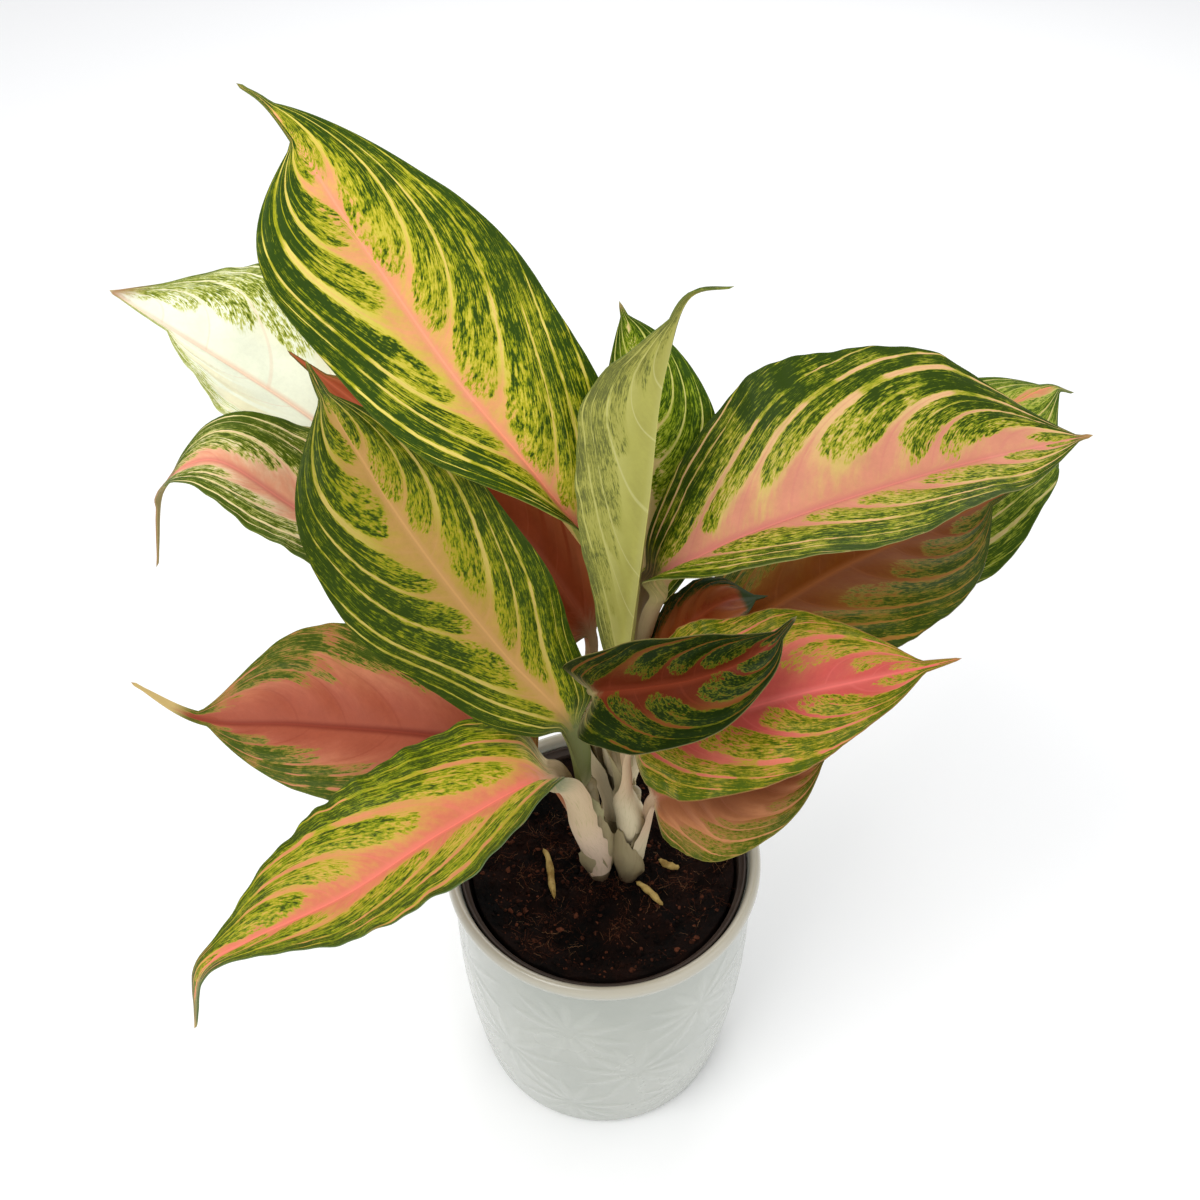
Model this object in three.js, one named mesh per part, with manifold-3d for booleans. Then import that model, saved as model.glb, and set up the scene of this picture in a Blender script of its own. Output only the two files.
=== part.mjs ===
// Potted chinese evergreen: sixteen variegated leaves on three short canes, in peat,
// in a brown grower's pot that stands inside a white glazed cover pot.
//
// Millimetres, +Z up. The origin is the middle of the cover pot's flat underside.
// +X is the right of the plant as it is looked at, and +Y points away from the looker.

import * as THREE from 'three';
import { mergeVertices } from 'three/addons/utils/BufferGeometryUtils.js';
import Module from 'manifold-3d';

const wasm = await Module();
wasm.setup();

// ---------------------------------------------------------------- driving dimensions

const GAP = 0.3; // clearance between pieces that rest on each other

// cover pot
const POT_HEIGHT = 140;
const POT_FOOT_RADIUS = 58.2;
const POT_WAIST_RADIUS = 64.3; // widest radius of the body, at mid height
const POT_SHOULDER_RADIUS = 63; // just under the rim band
const POT_RIM_RADIUS = 66.8;
const POT_MOUTH_RADIUS = 62;
const POT_RIM_BAND = 11; // height of the plain band under the lip
const POT_WALL = 3.4;
const POT_FLOOR = 7;
const POT_FOOT_ROUND = 5;
const POT_SIDES = 56;

// grower's pot
const INNER_POT_HEIGHT = 128;
const INNER_POT_TOP_RADIUS = 59.2;
const INNER_POT_FOOT_RADIUS = 43;
const INNER_POT_LIP = 1.7; // how far the rolled lip stands out
const INNER_POT_LIP_HEIGHT = 4;
const INNER_POT_LIP_FLARE = 1.1; // how much wider it is at its top than at its foot
const INNER_POT_WALL = 1.2;
const INNER_POT_SIDES = 40;
const DRAIN_RADIUS = 4;
const DRAIN_CIRCLE = 28;
const DRAIN_COUNT = 5;

// soil
const SOIL_TOP = 124;
const SOIL_MOUND = 2.5; // how far the middle stands above the edge
const SOIL_LUMP = 0.9; // height of the lumps on its top
const SOIL_BANK = 7; // how far it is heaped up against the pot
const SOIL_BANK_FROM = 0.72; // share of the radius where that heap begins
const SOIL_SIDES = 36;
const ROOT_DEPTH = 24; // how deep the canes stand in it

// canes
const CANE_SIDES = 12;
const CANE_HOLE_ROOM = 0.4; // how much wider a cane's hole in the soil is than the cane
const CANE_BEND = SOIL_TOP + 6; // the height where a cane starts to lean

// leaf blades and petioles
const BLADE_THICKNESS = 0.8;
const RIB_DEPTH = 2.6; // how far the midrib stands out below the blade, at its base
const PETIOLE_WIDTH = 5;
const PETIOLE_DEPTH = 4.4;
const SHEATH_WIDTH = 7.2;
const SHEATH_DEPTH = 3.4;
const SCALLOP_PHASE = 1.7; // how much the waves of a margin shift from leaf to leaf
const LOBE = 3; // how far the base reaches back past the end of the petiole
const LOBE_SHARE = 0.3; // share of the length over which it does so
const USUAL_OUTLINE = {
  belly: [0.42, 0.42], // where the two halves are widest, as a share of the length
  base: [0.62, 0.62], // 0.5 is a round base, and more is a pointed one
  full: [2.2, 2.2], // how long the halves stay wide on the way to the tip
  draw: 1.05, // how hollow the margins then run to the tip
  tail: [0.1, 0.1], // share of the length where a half is only the drawn-out tip
  tailWidth: 0.07, // half width of that tip, as a share of the widest half width
  scallop: [0.025, 0.025], // how far the margin waves in and out, as a share of the half width
};

// how finely a leaf is drawn
const STALK_STEPS = 6;
const BLADE_STEPS = 16;
const CLOSER_AT_ENDS = 0.5; // how much closer the blade's rings stand at its ends
const SPAN_STEPS = 20; // steps between two points of a midrib, to measure its length
const RING = 14; // points round a petiole or a blade, 7 above and 7 below
const ABOVE = 7;
const SHARES = [-1, -0.58, -0.13, 0, 0.13, 0.58, 1]; // places of the points across a blade

// ---------------------------------------------------------------- canes and leaves

// Each cane stands upright in the soil at foot, then leans towards top.
const CANES = [
  { name: 'cane_1', foot: [5, 5], top: [7, 3, 238], footRadius: 5, topRadius: 3.6 },
  { name: 'cane_2', foot: [-1.5, -4], top: [-6, -9, 200], footRadius: 4.5, topRadius: 3.2 },
  { name: 'cane_3', foot: [10.5, -4.5], top: [11.5, -6, 190], footRadius: 4.3, topRadius: 3.2 },
];

// A leaf grows from its cane at a height and a compass bearing (0 is +X, 90 is +Y), or
// from the top of the cane. bend is a point its petiole passes on the way.
// midrib runs from the blade's base to its tip. across points from the midrib to the
// right-hand margin, at the base, the middle and the tip, or all along the blade.
// Every pair is for the left and the right half. width is the widest half width. fold is
// how far a half is raised, and curl how far it then bends on its way to the margin, in
// degrees. cup is a further fold at the base, that fades towards the tip.
// wave is the rise of the margin's waves. lobe replaces LOBE, and the numbers of the
// outline replace those of USUAL_OUTLINE.
const LEAVES = [
  {
    name: 'leaf_01',
    cane: 0, height: 224, bearing: 122,
    midrib: [
      [-1, 14, 290], [-19, 17, 321], [-46, 23, 360], [-70, 30, 401], [-92, 40, 436], [-101.5, 45.5, 441],
    ],
    across: [[0.8, 0.5, 0.3], [0.8, 0.42, 0.43], [0.8, 0.4, 0.5]],
    width: [29, 38], fold: [14, 14], curl: [-14, -14], wave: 1.2, waves: 3,
    belly: [0.66, 0.48], base: [1.6, 0.7], full: [5, 2.2], tail: [0.12, 0.06],
    tailWidth: 0.045, cup: [100, 15], scallop: [0.02, 0.01],
  },
  {
    name: 'leaf_02',
    cane: 0, height: 170, bearing: 125,
    midrib: [[-38, 32, 280], [-74, 50, 296], [-110, 65, 319], [-149, 78, 341], [-174, 88, 353]],
    across: [[0.4, 0.9, -0.1]],
    width: [28, 46], fold: [18, 30], curl: [-16, -16], wave: 1.2, waves: 3,
    belly: [0.58, 0.6], full: [2.2, 4], tail: [0.15, 0.01],
  },
  {
    name: 'leaf_03',
    cane: 0, height: 160, bearing: 180,
    midrib: [
      [-40, 8, 277], [-69, 10, 294], [-102, 18, 311], [-128, 22, 329], [-147, 23, 317], [-157, 19, 284],
    ],
    across: [[0.2, 1, 0.1]],
    width: [20, 35], fold: [16, 22], curl: [-16, -16], wave: 1.4, waves: 3,
    tail: [0.16, 0.25],
  },
  {
    name: 'leaf_04',
    cane: 1, height: 165, bearing: 235,
    midrib: [[-11, -22, 245], [-34, -12, 273], [-64, 2, 318], [-88, 24, 353], [-95, 36, 358]],
    across: [[0.78, 0.42, 0.46]],
    width: [33, 30], fold: [14, 14], curl: [-16, -16], wave: 1.2, waves: 3,
    belly: [0.6, 0.5], base: [0.7, 0.62],
  },
  {
    name: 'leaf_05',
    cane: 1, height: 145, bearing: 160,
    midrib: [[-24, -10, 208], [-50, -5, 217], [-114, 0, 221], [-153, 3, 221], [-176, 8, 236]],
    across: [[0, 1, 0.3]],
    width: [32, 42], fold: [12, 12], curl: [-16, -16], wave: 1.2, waves: 3,
    belly: [0.42, 0.57], tail: [0.2, 0.17],
  },
  {
    name: 'leaf_06',
    cane: 1, height: 133, bearing: 240,
    bend: [-11, -20, 180],
    midrib: [
      [-17, -27, 225], [-54, -50, 225], [-88, -70, 215], [-118, -83, 209], [-135, -88, 199],
      [-143, -95, 170],
    ],
    across: [[-0.55, 0.81, -0.17]],
    width: [36, 36], fold: [23, 23], curl: [-8, -12], wave: 1.2, waves: 3,
    belly: [0.38, 0.28], base: [1.15, 0.35], full: [2.2, 4], draw: 2.4, tail: [0.18, 0.18],
    tailWidth: 0.13, cup: [10, 0], lobe: 4,
  },
  {
    name: 'leaf_07',
    cane: 0, height: 238, bearing: 0, onTop: true,
    midrib: [[7, -3, 252], [14, 4, 325], [18, 14, 367], [25, 22, 389], [38, 24, 391]],
    across: [[-0.4, -0.9, 0.2]],
    width: [20, 23], fold: [60, 60], curl: [20, 20], wave: 0.8, waves: 2,
    belly: [0.72, 0.74], base: [0.9, 0.85], full: [1.6, 1.6], tail: [0.14, 0.14], tailWidth: 0.12,
  },
  {
    name: 'leaf_08',
    cane: 0, height: 197, bearing: 78,
    bend: [12, 14.5, 228],
    midrib: [[12, 20, 262], [16, 34, 300], [14, 50, 335], [5, 62, 364]],
    across: [[1, 0, 0.2]],
    width: [17, 24], fold: [16, 16], curl: [-16, -16], wave: 1, waves: 3,
    belly: [0.5, 0.5], draw: 0.95, tail: [0.05, 0.05],
  },
  {
    name: 'leaf_09',
    cane: 0, height: 218, bearing: 12,
    midrib: [[16, 8, 284], [36, 6, 304], [63, 5, 320], [113, 15, 332], [157, 22, 339]],
    across: [[0.2, -1, -0.2]],
    width: [51, 31], fold: [28, 28], curl: [-12, -12], wave: 1.6, waves: 3,
    belly: [0.48, 0.46], base: [1, 0.62], cup: [0, 40], tail: [0.03, 0.03],
    tailWidth: 0.03, scallop: [0.01, 0.025],
  },
  {
    name: 'leaf_10',
    cane: 0, height: 176, bearing: 43,
    midrib: [[66, 42, 255], [117, 70, 262], [154, 95, 295], [174, 102, 303], [185, 104, 299]],
    across: [[0.6, -0.8, -0.1]],
    width: [36, 42], fold: [14, 14], curl: [-16, -16], wave: 1.2, waves: 3,
    belly: [0.5, 0.5], full: [2.2, 3], tail: [0.1, 0.06],
  },
  {
    name: 'leaf_11',
    cane: 0, height: 170, bearing: 342,
    midrib: [[34, 10, 255], [55, 15, 264], [88, 28, 277], [120, 38, 287], [148, 48, 296]],
    across: [[0.4, -0.9, 0]],
    width: [34, 42], fold: [12, 12], curl: [-16, -16], wave: 1.2, waves: 3,
    belly: [0.5, 0.5], full: [2.2, 2.4], tail: [0.1, 0.08],
  },
  {
    name: 'leaf_12',
    cane: 2, height: 165, bearing: 170,
    bend: [3, -8, 227],
    midrib: [
      [-4, -22.5, 264], [-0.5, -25, 268], [15, -31, 277.5], [30.5, -35.5, 287], [47.5, -34.5, 296.5],
      [59.5, -29, 308],
    ],
    across: [[0.3, -0.7, -0.7]],
    width: [21, 24], fold: [30, 30], curl: [20, 20], wave: 0.8, waves: 2,
    belly: [0.4, 0.4], base: [0.35, 0.35], lobe: 6,
  },
  {
    name: 'leaf_13',
    cane: 2, height: 158, bearing: 278,
    bend: [9, -15, 202],
    midrib: [[10, -22, 238], [44, -35, 270], [62, -35, 278], [95, -34, 288], [113, -32, 292]],
    across: [[0.3, -0.9, -0.4]],
    width: [32, 27], fold: [12, 12], curl: [-16, -16], wave: 1.8, waves: 4,
    belly: [0.4, 0.36], base: [0.5, 0.5], lobe: 6,
  },
  {
    name: 'leaf_14',
    cane: 2, height: 136, bearing: 352,
    midrib: [[19, -17, 197], [34, -29, 221], [49, -35, 232], [70, -35, 243], [82, -31, 248]],
    across: [[0.3, -0.9, -0.4]],
    width: [26, 26], fold: [12, 12], curl: [-16, -16], wave: 1.2, waves: 3,
    base: [0.5, 0.55], lobe: 5,
  },
  {
    name: 'leaf_15',
    cane: 0, height: 190, bearing: 182,
    bend: [-5.5, 3, 236],
    midrib: [[-4.6, 7.6, 261], [-13, 11, 278], [-30, 20, 300], [-70, 43, 323], [-108, 62, 345]],
    across: [[0.6, 0.8, 0.1]],
    base: [0.5, 0.5],
    width: [27, 28], fold: [14, 14], curl: [-16, -16], wave: 1, waves: 3,
  },
  {
    name: 'leaf_16',
    cane: 0, height: 203, bearing: 305,
    bend: [19, -5, 236],
    midrib: [[19.4, -3.4, 257.6], [29, 3, 270], [42, 9, 277], [58, 13, 276]],
    across: [[0.2, -1, 0]],
    width: [15, 19], fold: [14, 14], curl: [-10, -10], wave: 0.6, waves: 2,
  },
];

// Cut-off roots and a bit of bark that lie on the soil, each a line in plan.
const STUBS = [
  { name: 'root_stub_1', plan: [[-26, 8], [-23.5, 2], [-22, -8], [-20.5, -17]], radius: 1.5 },
  { name: 'root_stub_2', plan: [[14, -9], [19, -13], [25, -20]], radius: 1.4 },
  { name: 'bark_bit_1', plan: [[24, 2], [28, 0], [33, -1]], radius: 1.4 },
];
const STUB_LIFT = 0.7; // clearance of a stub above the soil

// ---------------------------------------------------------------- finishes

function finish(color, roughness) {
  return new THREE.MeshStandardMaterial({ color, roughness, metalness: 0 });
}

const GLAZE = finish('#e9ecea', 0.16);
const BROWN_PLASTIC = finish('#4a352a', 0.5);
const PEAT = finish('#2a1d16', 0.95);
const SHEATH = finish('#efe4d2', 0.45);
const ROOT = finish('#a88a4e', 0.7);
const LEAF_SHEEN = 0.35;
const LEAF_COLOUR = {
  leaf_01: '#b5b54a',
  leaf_02: '#f1ecd6',
  leaf_03: '#e9c9b4',
  leaf_04: '#a59a5c',
  leaf_05: '#c47a63',
  leaf_06: '#c2a94f',
  leaf_07: '#bcc777',
  leaf_08: '#5d7a2c',
  leaf_09: '#d9ac8c',
  leaf_10: '#6b6f35',
  leaf_11: '#b07a58',
  leaf_12: '#a34a40',
  leaf_13: '#dd8070',
  leaf_14: '#c4705e',
  leaf_15: '#8f3f38',
  leaf_16: '#b5493f',
};

// ---------------------------------------------------------------- small helpers

const UP = new THREE.Vector3(0, 0, 1);
const vec = ([x, y, z]) => new THREE.Vector3(x, y, z);
const mix = THREE.MathUtils.lerp;
const smooth = THREE.MathUtils.smoothstep;
const radians = THREE.MathUtils.degToRad;

// One vector, or three blended by the share u of the way to the blade's tip.
function blend(vectors, u) {
  const [base, middle = base, tip = middle] = vectors.map(vec);
  return u < 0.5 ? base.clone().lerp(middle, 2 * u) : middle.clone().lerp(tip, 2 * u - 1);
}

// The part of direction that is square to along, as a unit vector.
function squareTo(direction, along) {
  return direction.clone().addScaledVector(along, -direction.dot(along)).normalize();
}

// A closed skin over rings of points that run the same way round, with a pole at each
// end. flip(j) says which diagonal splits the quads of column j.
function skin(rings, startPole, endPole, flip) {
  const count = rings[0].length;
  const points = [startPole, ...rings.flat(), endPole];
  const at = (i, j) => 1 + i * count + (j % count);
  const last = rings.length - 1;
  const faces = [];
  for (let j = 0; j < count; j++) {
    faces.push(0, at(0, j + 1), at(0, j));
    for (let i = 0; i < last; i++) {
      const [a, b, c, d] = [at(i, j), at(i, j + 1), at(i + 1, j + 1), at(i + 1, j)];
      if (flip(j)) {
        faces.push(a, b, d, b, c, d);
      } else {
        faces.push(a, b, c, a, c, d);
      }
    }
    faces.push(points.length - 1, at(last, j), at(last, j + 1));
  }
  const numbers = points.flatMap((point) => point.toArray());
  const geometry = new THREE.BufferGeometry();
  geometry.setAttribute('position', new THREE.Float32BufferAttribute(numbers, 3));
  geometry.setIndex(faces);
  geometry.computeVertexNormals();
  return geometry;
}

// A lathe turned about Z, from a profile of [radius, height] points.
function turned(profile, sides) {
  const points = profile.map(([radius, height]) => new THREE.Vector2(radius, height));
  return new THREE.LatheGeometry(points, sides).rotateX(Math.PI / 2);
}

function solid(geometry) {
  const bare = geometry.clone();
  bare.deleteAttribute('normal');
  bare.deleteAttribute('uv');
  const merged = mergeVertices(bare, 1e-4);
  return new wasm.Manifold(new wasm.Mesh({
    numProp: 3,
    vertProperties: new Float32Array(merged.attributes.position.array),
    triVerts: new Uint32Array(merged.index.array),
  }));
}

function fromSolid(body) {
  const mesh = body.getMesh();
  const geometry = new THREE.BufferGeometry();
  geometry.setAttribute('position', new THREE.Float32BufferAttribute(mesh.vertProperties, 3));
  geometry.setIndex(Array.from(mesh.triVerts));
  geometry.computeVertexNormals();
  return geometry;
}

function piece(name, geometry, material) {
  const mesh = new THREE.Mesh(geometry, material);
  mesh.name = name;
  return mesh;
}

// ---------------------------------------------------------------- cover pot

const POT_SHOULDER = POT_HEIGHT - POT_RIM_BAND;

// Outer radius of the body: a parabola through foot, waist and shoulder.
function bodyRadius(height) {
  const middle = POT_SHOULDER / 2;
  const straight = mix(POT_FOOT_RADIUS, POT_SHOULDER_RADIUS, height / POT_SHOULDER);
  const bulge = POT_WAIST_RADIUS - (POT_FOOT_RADIUS + POT_SHOULDER_RADIUS) / 2;
  return straight + bulge * (1 - ((height - middle) / middle) ** 2);
}

function coverPot() {
  const profile = [[0, 0]];
  const arcSteps = 3;
  for (let k = 0; k <= arcSteps; k++) {
    const angle = (k / arcSteps) * (Math.PI / 2);
    const radius = bodyRadius(POT_FOOT_ROUND) - POT_FOOT_ROUND * (1 - Math.sin(angle));
    profile.push([radius, POT_FOOT_ROUND * (1 - Math.cos(angle))]);
  }
  const bodySteps = 7;
  for (let k = 1; k <= bodySteps; k++) {
    const height = mix(POT_FOOT_ROUND, POT_SHOULDER, k / bodySteps);
    profile.push([bodyRadius(height), height]);
  }
  // the rim band and its rounded lip
  profile.push([POT_RIM_RADIUS - 1.2, POT_SHOULDER + 2.2]);
  profile.push([POT_RIM_RADIUS, POT_HEIGHT - 3]);
  profile.push([POT_RIM_RADIUS - 0.8, POT_HEIGHT - 0.8]);
  profile.push([POT_RIM_RADIUS - 2.4, POT_HEIGHT]);
  profile.push([POT_MOUTH_RADIUS + 1, POT_HEIGHT - 0.5]);
  profile.push([POT_MOUTH_RADIUS, POT_HEIGHT - 2.5]);
  // down the inside
  const wallSteps = 4;
  for (let k = wallSteps; k >= 0; k--) {
    const height = mix(POT_FLOOR + 4, POT_SHOULDER, k / wallSteps);
    const radius = Math.min(bodyRadius(height) - POT_WALL, POT_MOUTH_RADIUS - 1);
    profile.push([radius, height]);
  }
  profile.push([bodyRadius(POT_FLOOR) - POT_WALL - 4, POT_FLOOR]);
  profile.push([0, POT_FLOOR]);
  return piece('cover_pot', turned(profile, POT_SIDES), GLAZE);
}

// ---------------------------------------------------------------- grower's pot and soil

const INNER_POT_FOOT = POT_FLOOR + GAP;
const INNER_POT_TOP = INNER_POT_FOOT + INNER_POT_HEIGHT;

// Outer radius of the grower's pot at a height above the table.
function innerPotRadius(height) {
  const share = (height - INNER_POT_FOOT) / INNER_POT_HEIGHT;
  return mix(INNER_POT_FOOT_RADIUS, INNER_POT_TOP_RADIUS, share);
}

function growersPot() {
  const lipFoot = INNER_POT_TOP - INNER_POT_LIP_HEIGHT;
  const lipRadius = INNER_POT_TOP_RADIUS + INNER_POT_LIP;
  const floor = INNER_POT_FOOT + INNER_POT_WALL;
  const profile = [
    [0, INNER_POT_FOOT],
    [INNER_POT_FOOT_RADIUS, INNER_POT_FOOT],
    [innerPotRadius(lipFoot), lipFoot],
    [lipRadius - INNER_POT_LIP_FLARE, lipFoot + 0.6],
    [lipRadius, INNER_POT_TOP],
    [INNER_POT_TOP_RADIUS - INNER_POT_WALL + 0.4, INNER_POT_TOP],
    [innerPotRadius(floor) - INNER_POT_WALL, floor],
    [0, floor],
  ];
  let shell = solid(turned(profile, INNER_POT_SIDES));
  for (let k = 0; k < DRAIN_COUNT; k++) {
    const angle = (k / DRAIN_COUNT) * 2 * Math.PI;
    const drill = new THREE.CylinderGeometry(DRAIN_RADIUS, DRAIN_RADIUS, 4 * INNER_POT_WALL, 12);
    drill.rotateX(Math.PI / 2);
    drill.translate(DRAIN_CIRCLE * Math.cos(angle), DRAIN_CIRCLE * Math.sin(angle), INNER_POT_FOOT);
    shell = shell.subtract(solid(drill));
  }
  return piece('growers_pot', fromSolid(shell), BROWN_PLASTIC);
}

// Height of the soil's top at a place: a low mound with lumps.
function soilHeight(x, y) {
  const edge = innerPotRadius(SOIL_TOP);
  const mound = SOIL_MOUND * (1 - (x * x + y * y) / (edge * edge));
  const bank = SOIL_BANK * smooth(Math.hypot(x, y) / edge, SOIL_BANK_FROM, 1);
  const lumps = Math.sin(0.31 * x + 1) * Math.cos(0.27 * y) + 0.6 * Math.sin(0.17 * x - 0.38 * y);
  return SOIL_TOP + mound + bank + SOIL_LUMP * lumps;
}

const CANE_FOOT = SOIL_TOP - ROOT_DEPTH;

function soil() {
  const floor = INNER_POT_FOOT + INNER_POT_WALL + GAP;
  const wall = (height) => innerPotRadius(height) - INNER_POT_WALL - GAP;
  const edge = wall(SOIL_TOP) - 0.4;
  const flatTop = SOIL_TOP + 1;
  const profile = [[0, floor], [wall(floor) - 0.4, floor], [edge, SOIL_TOP]];
  const ringCount = 6;
  for (let k = ringCount; k >= 0; k--) {
    profile.push([(edge * k) / ringCount, flatTop]);
  }
  const geometry = turned(profile, SOIL_SIDES);
  const position = geometry.attributes.position;
  for (let k = 0; k < position.count; k++) {
    if (position.getZ(k) > flatTop - 0.5) {
      position.setZ(k, soilHeight(position.getX(k), position.getY(k)));
    }
  }
  let body = solid(geometry);
  for (const cane of CANES) {
    const radius = cane.footRadius + CANE_HOLE_ROOM;
    const length = 60;
    const hole = new THREE.CylinderGeometry(radius, radius, length, CANE_SIDES);
    hole.rotateX(Math.PI / 2);
    hole.translate(cane.foot[0], cane.foot[1], CANE_FOOT - GAP + length / 2);
    body = body.subtract(solid(hole));
  }
  return piece('soil', fromSolid(body), PEAT);
}

// ---------------------------------------------------------------- canes

// The share of the way from the bend to the top.
function caneShare(cane, height) {
  return Math.max(0, (height - CANE_BEND) / (cane.top[2] - CANE_BEND));
}

// The straight part stands in the soil, and the rest leans from there to the top.
function caneAxis(cane, height) {
  const share = caneShare(cane, height);
  const lean = (share + smooth(share, 0, 1)) / 2;
  return new THREE.Vector3(
    mix(cane.foot[0], cane.top[0], lean),
    mix(cane.foot[1], cane.top[1], lean),
    height,
  );
}

function caneRadius(cane, height) {
  return mix(cane.footRadius, cane.topRadius, caneShare(cane, height));
}

function canePiece(cane) {
  const heights = [CANE_FOOT, CANE_BEND];
  const steps = 6;
  for (let k = 1; k <= steps; k++) {
    heights.push(mix(CANE_BEND, cane.top[2], k / steps));
  }
  const rings = heights.map((height) => {
    const centre = caneAxis(cane, height);
    const radius = caneRadius(cane, height);
    return Array.from({ length: CANE_SIDES }, (_, j) => {
      const angle = -(j / CANE_SIDES) * 2 * Math.PI;
      const away = new THREE.Vector3(Math.sin(angle), Math.cos(angle), 0);
      return centre.clone().addScaledVector(away, radius);
    });
  });
  const start = caneAxis(cane, CANE_FOOT);
  const end = caneAxis(cane, cane.top[2]);
  return piece(cane.name, skin(rings, start, end, () => false), SHEATH);
}

// ---------------------------------------------------------------- leaves

// Half width of one half of a blade (0 is left, 1 is right) at the share u of its length,
// as a share of its widest. The body of the blade ends before the tip, and a narrow tail
// runs on from it.
function outline(leaf, half, u) {
  const { belly, base, full, draw, tail, tailWidth, scallop } = { ...USUAL_OUTLINE, ...leaf };
  const end = 1 - tail[half];
  const share = Math.min(1, u / end);
  const rest = tailWidth * smooth(u, 0.3, end) * Math.min(1, (1 - u) / tail[half]) ** 0.7;
  const wave = 1 + scallop[half] * Math.sin(6 * Math.PI * u + 0.6 + leaf.phase + 2.2 * half);
  if (share < belly[half]) {
    return (1 - (1 - share / belly[half]) ** 2) ** base[half] * wave + rest;
  }
  const x = (share - belly[half]) / (1 - belly[half]);
  return (1 - x ** full[half]) ** draw * wave + rest;
}

// Where the petiole leaves its cane, and a second point a little further up.
function petioleStart(leaf) {
  const cane = CANES[leaf.cane];
  if (leaf.onTop) {
    const top = caneAxis(cane, cane.top[2]);
    return [top.clone().addScaledVector(UP, GAP), top.clone().addScaledVector(UP, 10)];
  }
  const bearing = radians(leaf.bearing);
  const outward = new THREE.Vector3(Math.cos(bearing), Math.sin(bearing), 0);
  const beside = (height, away) => {
    const reach = caneRadius(cane, height) + GAP + SHEATH_DEPTH / 2 + away;
    return caneAxis(cane, height).addScaledVector(outward, reach);
  };
  return [beside(leaf.height, 0), beside(leaf.height + 14, 0.8)];
}

// Centre, along, across and normal directions at a place on the leaf's spine. u is the
// share of the blade, and runs from -1 to 0 along the petiole.
function frameAt(leaf, curve, place, u) {
  const centre = curve.getPointAt(place);
  const along = curve.getTangentAt(place);
  const bearing = radians(leaf.bearing);
  const footAcross = new THREE.Vector3(Math.sin(bearing), -Math.cos(bearing), 0);
  const bladeAcross = blend(leaf.across, Math.max(0, u)).normalize();
  const turn = leaf.onTop ? 1 : smooth(u, -1, 0);
  const across = squareTo(footAcross.lerp(bladeAcross, turn), along);
  const normal = across.clone().cross(along);
  return { centre, along, across, normal };
}

// Rounded below and flatter above.
function petioleRing({ centre, across, normal }, width, depth) {
  return Array.from({ length: RING }, (_, j) => {
    const angle = Math.PI - ((j + 0.5) / RING) * 2 * Math.PI;
    const rise = Math.sin(angle) * (angle > 0 ? 0.35 : 0.65) * depth;
    return centre.clone()
      .addScaledVector(across, Math.cos(angle) * (width / 2))
      .addScaledVector(normal, rise);
  });
}

// Across a blade each half is an arc, raised by its fold where it leaves the midrib.
function bladeRing(leaf, { centre, along, across, normal }, u) {
  const sweep = (leaf.lobe ?? LOBE) * (1 - smooth(u, 0, LOBE_SHARE));
  const rib = RIB_DEPTH * (1 - u) ** 1.5;
  const top = [];
  const under = [];
  SHARES.forEach((share) => {
    const side = share < 0 ? -1 : 1;
    const half = share < 0 ? 0 : 1;
    const reach = Math.abs(share);
    const size = Math.max(outline(leaf, half, u), 0.02);
    const cup = (leaf.cup?.[half] ?? 0) * (1 - u) ** 4;
    const fold = radians(leaf.fold[half] * Math.min(1, 4 * (1 - u)) + cup);
    const curl = radians(leaf.curl[half] + 0.5 * cup);
    const angle = fold + curl * reach;
    const arc = (leaf.width[half] * size) / curl;
    const out = arc * (Math.sin(angle) - Math.sin(fold));
    const lift = arc * (Math.cos(fold) - Math.cos(angle));
    const phase = 2 * Math.PI * leaf.waves * u + half * 1.7;
    const ripple = leaf.wave * size * reach * reach * Math.sin(phase);
    const point = centre.clone()
      .addScaledVector(across, side * out)
      .addScaledVector(normal, lift + ripple)
      .addScaledVector(along, -sweep * reach);
    const facing = across.clone()
      .multiplyScalar(-side * Math.sin(angle))
      .addScaledVector(normal, Math.cos(angle));
    const depth = BLADE_THICKNESS + (share === 0 ? rib : 0);
    top.push(point);
    under.unshift(point.clone().addScaledVector(facing, -depth));
  });
  return [...top, ...under];
}

// The upper and lower faces of the blade are split into triangles alike.
function flipLeaf(column) {
  const middle = ABOVE >> 1;
  return column < ABOVE ? column >= middle : RING - 2 - column < middle;
}

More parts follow.
